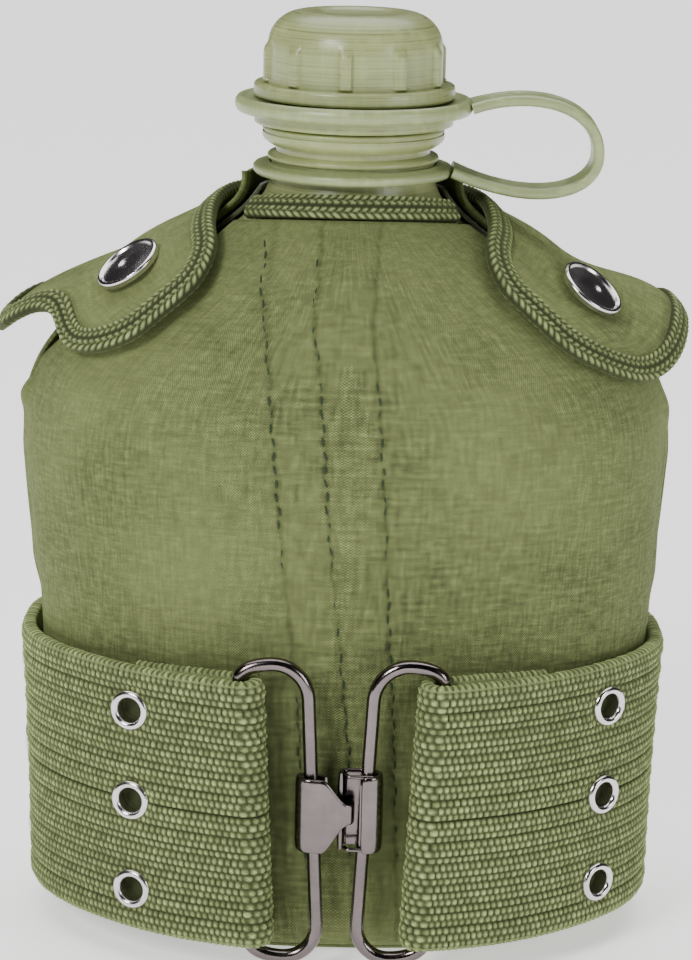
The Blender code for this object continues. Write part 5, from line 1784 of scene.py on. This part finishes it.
@dataclass
class Buckle:
    """Two wire loops, one with a claw and one with a catch."""

    belt: Belt
    inner_x: float = 0.0056
    over: float = 0.0055
    bend: float = 0.0075
    wire_r: float = 0.0015
    clasp_z: float = 0.0365
    clasp_height: float = 0.0170
    metal: float = 0.0014
    run: float = 0.0008
    catch_x: float = 0.0004
    claw_depth: float = 0.0040
    play: float = 0.0017

    def loop(self, sign: int) -> np.ndarray:
        """A wire's line, down its outer bar inside the fold, round, and up its free bar."""
        belt = self.belt
        low = belt.low_z - self.over + self.wire_r
        high = belt.low_z + belt.width + self.over - self.wire_r
        radius, middle = (belt.loop_x - self.inner_x) / 2, (belt.loop_x + self.inner_x) / 2
        points = []
        for end_z, up in ((high, 1), (low, -1)):
            for turn in np.linspace(0, math.pi, 41):
                cos = up * math.cos(turn)
                bend = (self.over - self.wire_r - RUN) if cos > 0 else self.bend
                points.append(belt.bar(sign, middle + radius * cos, end_z - up * bend * (1 - math.sin(turn))))
        ringed = np.array(points + points[:1])
        lengths = lengths_along(ringed)
        return points_at(np.linspace(0, lengths[-1], 221)[:-1], lengths, ringed)

    def plate(self, name: str, line: Callable[[np.ndarray], np.ndarray], edges: Callable[[np.ndarray], tuple],
              body: Body, node: str) -> None:
        """A bent plate with rounded edges.

        Args:
            name: The piece's name.
            line: Gives plan points, x and y, for shares along the strip.
            edges: Gives the lower and upper heights for shares along the strip.
            body: The body it rides on.
            node: The node it stands for.
        """
        rows, sides = 90, 40
        shares = np.linspace(0, 1, rows + 1)
        plan = line(shares)
        along = unit(np.gradient(plan, axis=0))
        normal = np.stack([along[:, 1], -along[:, 0]], axis=-1)
        turns = np.linspace(0, math.tau, sides, endpoint=False)
        tall = squared(np.cos(turns), 0.28)
        thick = squared(np.sin(turns), 0.5)
        low, high = edges(shares)

        def place(across: np.ndarray, share: np.ndarray) -> Laid:
            """A point of the plate's skin."""
            row = nearest(share, rows)
            spot = nearest(across, sides) % sides
            taper = np.clip(np.minimum(row, rows - row) / 3, 0.45, 1.0)
            flat = plan[row] + (thick[spot] * self.metal / 2 * taper)[:, None] * normal[row]
            z = lerp(low[row], high[row], (tall[spot] + 1) / 2)
            points = np.concatenate([flat, z[:, None]], axis=-1)
            return points, np.stack([share, across], axis=-1), np.ones(len(row))

        bm = face_out(cap_ends(grid(sides, rows, place, weld=True)))
        Piece(name, BLACK_NICKEL, body, Slot.BLACK_NICKEL, (node,), 50).add(bm)

    def claw(self) -> None:
        """The crescent claw that curls round the left loop's free bar and hooks over the catch."""
        bar = self.belt.bar(-1, self.inner_x, self.clasp_z)
        curl = self.wire_r + self.run + self.metal / 2
        claw_x = self.catch_x + self.metal + 0.0008
        front_y = bar[1] - curl
        turns = np.radians(np.linspace(20, 270, 60))
        plan = np.stack([bar[0] + curl * np.cos(turns), bar[1] + curl * np.sin(turns)], axis=-1)
        reach = np.array([[bar[0] + 0.0020, front_y - 0.0003], [claw_x - 0.0012, front_y - 0.0001],
                          [claw_x - 0.0003, front_y + 0.0004], [claw_x, front_y + 0.0013],
                          [claw_x, front_y + self.claw_depth]])
        path = np.vstack([plan, reach])
        lengths = lengths_along(path)

        def line(share: np.ndarray) -> np.ndarray:
            """Plan points of the strip."""
            return points_at(share * lengths[-1], lengths, path)

        def edges(share: np.ndarray) -> tuple[np.ndarray, np.ndarray]:
            """The strip's lower and upper edges."""
            half = self.clasp_height / 2 - 0.0015
            draw = smooth((share - 0.60) / 0.24)
            bulge = 0.0008 * smooth(share / 0.4) * (1 - draw)
            return (self.clasp_z - half * lerp(1.1, 0.30, draw) - bulge,
                    self.clasp_z + half * lerp(1.0, 0.34, draw) + bulge)

        self.plate("buckle_claw", line, edges, Body.CLAW, "clasp_claw")

    def catch(self) -> None:
        """The catch: a plate behind the claw's tip, curled round the right loop's free bar."""
        bar = self.belt.bar(1, self.inner_x, self.clasp_z)
        curl = self.wire_r + self.run + self.metal / 2
        front_y = bar[1] - curl
        catch_y = front_y + self.metal / 2 + self.play
        back_y = bar[1] + curl
        turns = np.radians(np.linspace(90, -112, 50))
        plan = np.stack([bar[0] + curl * np.cos(turns), bar[1] + curl * np.sin(turns)], axis=-1)
        path = np.vstack([[[self.catch_x, catch_y], [self.catch_x, back_y - 0.0012],
                           [self.catch_x + 0.0004, back_y - 0.0003], [self.catch_x + 0.0012, back_y]], plan])
        lengths = lengths_along(path)
        half = self.clasp_height / 2

        def line(share: np.ndarray) -> np.ndarray:
            """Plan points of the strip."""
            return points_at(share * lengths[-1], lengths, path)

        def edges(share: np.ndarray) -> tuple[np.ndarray, np.ndarray]:
            """The strip's lower and upper edges."""
            round_end = 0.0016 * smooth((share - 0.93) / 0.07) ** 2
            return self.clasp_z - half + round_end, self.clasp_z + half - round_end

        self.plate("buckle_catch", line, edges, Body.RIGHT_BUCKLE, "clasp_catch")
        for label, sign in (("top", 1), ("foot", -1)):
            z = self.clasp_z + sign * (half - 0.0004)
            inner_x, outer_x = self.catch_x + 0.0009, bar[0] + curl * 0.75
            line_points = np.array([[inner_x, catch_y + 0.0004, z], [inner_x + 0.0006, front_y + 0.0014, z],
                                    [outer_x, front_y + 0.0010, z]])
            bm = tube(points_at(np.linspace(0, 1, 25), np.linspace(0, 1, 3), line_points), 0.00045, 12)
            Piece(f"buckle_catch_{label}", BLACK_NICKEL, Body.RIGHT_BUCKLE, Slot.BLACK_NICKEL, (), 50).add(bm)

    def build(self) -> None:
        """Makes both loops and the clasp."""
        for sign, label, body in ((-1, "left", Body.LEFT_BUCKLE), (1, "right", Body.RIGHT_BUCKLE)):
            bm = tube(self.loop(sign), self.wire_r, 20, closed=True)
            nodes = (f"buckle_wire_{label}",)
            Piece(f"buckle_loop_{label}", BLACK_NICKEL, body, Slot.BLACK_NICKEL, nodes, 50).add(bm)
        self.claw()
        self.catch()


# ---- Hanger ----


@dataclass
class Hanger:
    """The webbing tab and wire hook on the back."""

    width: float = 0.0300
    thickness: float = 0.0020
    low_z: float = 0.0720
    high_z: float = 0.1300
    wire_r: float = 0.0016
    half: float = 0.0090

    def tab(self) -> None:
        """The sewn tab of webbing."""
        columns, rows = 90, 170

        def place(across: np.ndarray, along: np.ndarray) -> Laid:
            """A point of the tab's outer face."""
            z = lerp(self.low_z, self.high_z, along)
            x = lerp(-self.width / 2, self.width / 2, across)
            turn = FORM.turn_at(x, z, back=True)
            rib = np.abs(np.sin(np.pi * across * 8)) ** 0.6
            phase = along * 42 + 0.5 * (np.floor(across * 16) % 2)
            lump = np.sin(np.pi * (phase - np.floor(phase))) * np.abs(np.sin(np.pi * across * 16)) ** 0.6
            from_edge = np.minimum(np.minimum(across, 1 - across) * 30, np.minimum(along, 1 - along) * 58)
            edge = smooth(from_edge / 0.9)
            out = SKIN_OUT + GAP + lerp(0.0009, self.thickness - 0.0004, edge)
            out = out + 0.0004 * rib * edge + 0.0003 * lump * edge
            # Painted shade between the tab's ribs and yarns.
            relief = np.clip(0.15 + 0.5 * rib + 0.5 * lump, 0, 1)
            return FORM.surface(turn, z, out), np.stack([z / MM, x / MM], axis=-1), relief

        bm = grid(columns, rows, place)
        piece = Piece("hanger_tab", WEB_CLOTH, Body.CANTEEN, Slot.WEBBING, ("hanger_web",), 80)
        add_sheet(piece, bm, 0.0008)

    def stitching(self) -> None:
        """The box of stitches that holds the tab."""
        bm = bmesh.new()
        thread = Stitching(length=0.0024, pitch=0.0032, radius=0.0003)
        half, low, high = self.width / 2 - 0.0028, self.low_z + 0.0310, self.high_z - 0.0030
        corners = [(-half, low), (half, low), (half, high), (-half, high), (-half, low), (half, high)]
        for (x0, z0), (x1, z1) in zip(corners, corners[1:]):
            share = np.linspace(0, 1, 40)
            x, z = lerp(x0, x1, share), lerp(z0, z1, share)
            turn = FORM.turn_at(x, z, back=True)
            out = SKIN_OUT + self.thickness + GAP + 0.0003
            thread.sew(bm, FORM.surface(turn, z, out), FORM.facing(turn, z))
        add_thread("hanger_thread", bm, Body.CANTEEN)

    def hook(self) -> None:
        """The bent wire hook."""
        y = FORM.back_depth + SKIN_OUT + self.thickness + 2 * GAP + self.wire_r + 0.0005
        low, high, drop = self.low_z + 0.0060, self.low_z + 0.0240, 0.0150
        half = self.half
        one = [(-half, y + 0.0080, low - drop + 0.0080), (-half, y + 0.0065, low - drop),
               (-half, y + 0.0015, low - drop - 0.0010), (-half, y, low - drop + 0.0050), (-half, y, low),
               (-half, y, high), (-half + 0.0030, y, high + 0.0030)]
        knots = one + [(-px, py, pz) for px, py, pz in reversed(one)]
        points = [Vector(knot) for knot in knots]
        for _ in range(3):
            cut = [points[0]]
            for near, far in zip(points, points[1:]):
                cut += [near.lerp(far, 0.25), near.lerp(far, 0.75)]
            points = cut + [points[-1]]
        bm = tube(np.array([tuple(p) for p in points]), self.wire_r, 16)
        Piece("hanger_wire", BLACK_NICKEL, Body.CANTEEN, Slot.BLACK_NICKEL, ("hanger_hook",), 50).add(bm)

    def build(self) -> None:
        """Makes the tab, its stitches and the hook."""
        self.tab()
        self.stitching()
        self.hook()


# ---- Carried-over nodes ----


def dress_nodes() -> None:
    """Gives the nodes that stay their finishes."""
    for name, finish in (("cap_seal", SEAL_RUBBER), ("drain_grommet", BRASS)):
        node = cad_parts[name]
        node.data.materials.clear()
        node.data.materials.append(finish.material())
        LOG.info("%s keeps its shape", name)


# ---- Studio ----


@dataclass
class Studio:
    """A pale floor, soft lights and the camera."""

    distance: float = 0.700
    height: float = 0.267
    aim_z: float = 0.0975
    lens: float = 122.5
    roll: float = 1.25

    def floor(self) -> None:
        """The plain floor."""
        bm = bmesh.new()
        bmesh.ops.create_grid(bm, x_segments=8, y_segments=8, size=12.0)
        bmesh.ops.translate(bm, verts=bm.verts[:], vec=(0, 0, -0.0004))
        mesh = bpy.data.meshes.new("floor")
        bm.to_mesh(mesh)
        bm.free()
        mesh.materials.append(FLOOR.material())
        made = bpy.data.objects.new("floor", mesh)
        bpy.context.scene.collection.objects.link(made)

    def light(self, name: str, place: tuple[float, float, float], size: float, power: float) -> None:
        """One soft square light, aimed at the canteen."""
        data = bpy.data.lights.new(name, "AREA")
        data.size = size
        data.energy = power
        made = bpy.data.objects.new(name, data)
        made.location = place
        made.rotation_euler = (Vector((0, 0, 0.1)) - Vector(place)).to_track_quat("-Z", "Y").to_euler()
        bpy.context.scene.collection.objects.link(made)

    def lights(self) -> None:
        """The key, the fill, the light above and the pale surroundings."""
        self.light("key", (-0.55, -0.80, 0.70), 0.35, 9.0)
        self.light("fill", (0.85, -0.65, 0.40), 0.40, 3.6)
        data = bpy.data.lights.new("overhead", "SUN")
        data.energy = 3.2
        data.angle = math.radians(70)
        made = bpy.data.objects.new("overhead", data)
        made.rotation_euler = (math.radians(-18), 0.0, 0.0)
        bpy.context.scene.collection.objects.link(made)
        world = bpy.data.worlds.new("surroundings")
        world.use_nodes = True
        background = world.node_tree.nodes["Background"]
        tree = Tree(world.node_tree)
        heading = tree.node("SeparateXYZ", Vector=tree.node("TexCoord").outputs["Generated"])
        tree.feed(background.inputs["Strength"], tree.span(heading.outputs["Y"], -0.9, 0.1, 0.20, 0.60))
        bpy.context.scene.world = world

    def camera(self) -> None:
        """The camera, a little above and straight in front."""
        data = bpy.data.cameras.new("camera")
        data.lens = self.lens
        data.sensor_width = 36.0
        data.clip_start = 0.01
        made = bpy.data.objects.new("camera", data)
        made.location = (0.0, -self.distance, self.height)
        aim = (Vector((0, 0, self.aim_z)) - made.location).to_track_quat("-Z", "Y").to_matrix()
        turn = Matrix.Rotation(math.radians(self.roll), 3, "Z")
        made.rotation_euler = (aim @ turn).to_euler()
        bpy.context.scene.collection.objects.link(made)
        bpy.context.scene.camera = made

    def build(self) -> None:
        """Sets the scene."""
        self.floor()
        self.lights()
        self.camera()


def main() -> None:
    """Builds the canteen and its studio."""
    logging.basicConfig(level=logging.INFO, format="%(name)s: %(message)s")
    Studio().build()
    Flask().build()
    ScrewCap().build()
    Tether().build()
    Cover().build()
    Flap(Side.LEFT).build()
    Flap(Side.RIGHT, hem_wave=-0.0040, wave_at=0.70, wave_width=0.20, ear_drop=0.0).build()
    belt = Belt()
    belt.build()
    Buckle(belt).build()
    Hanger().build()
    dress_nodes()


if __name__ == "__main__":
    main()
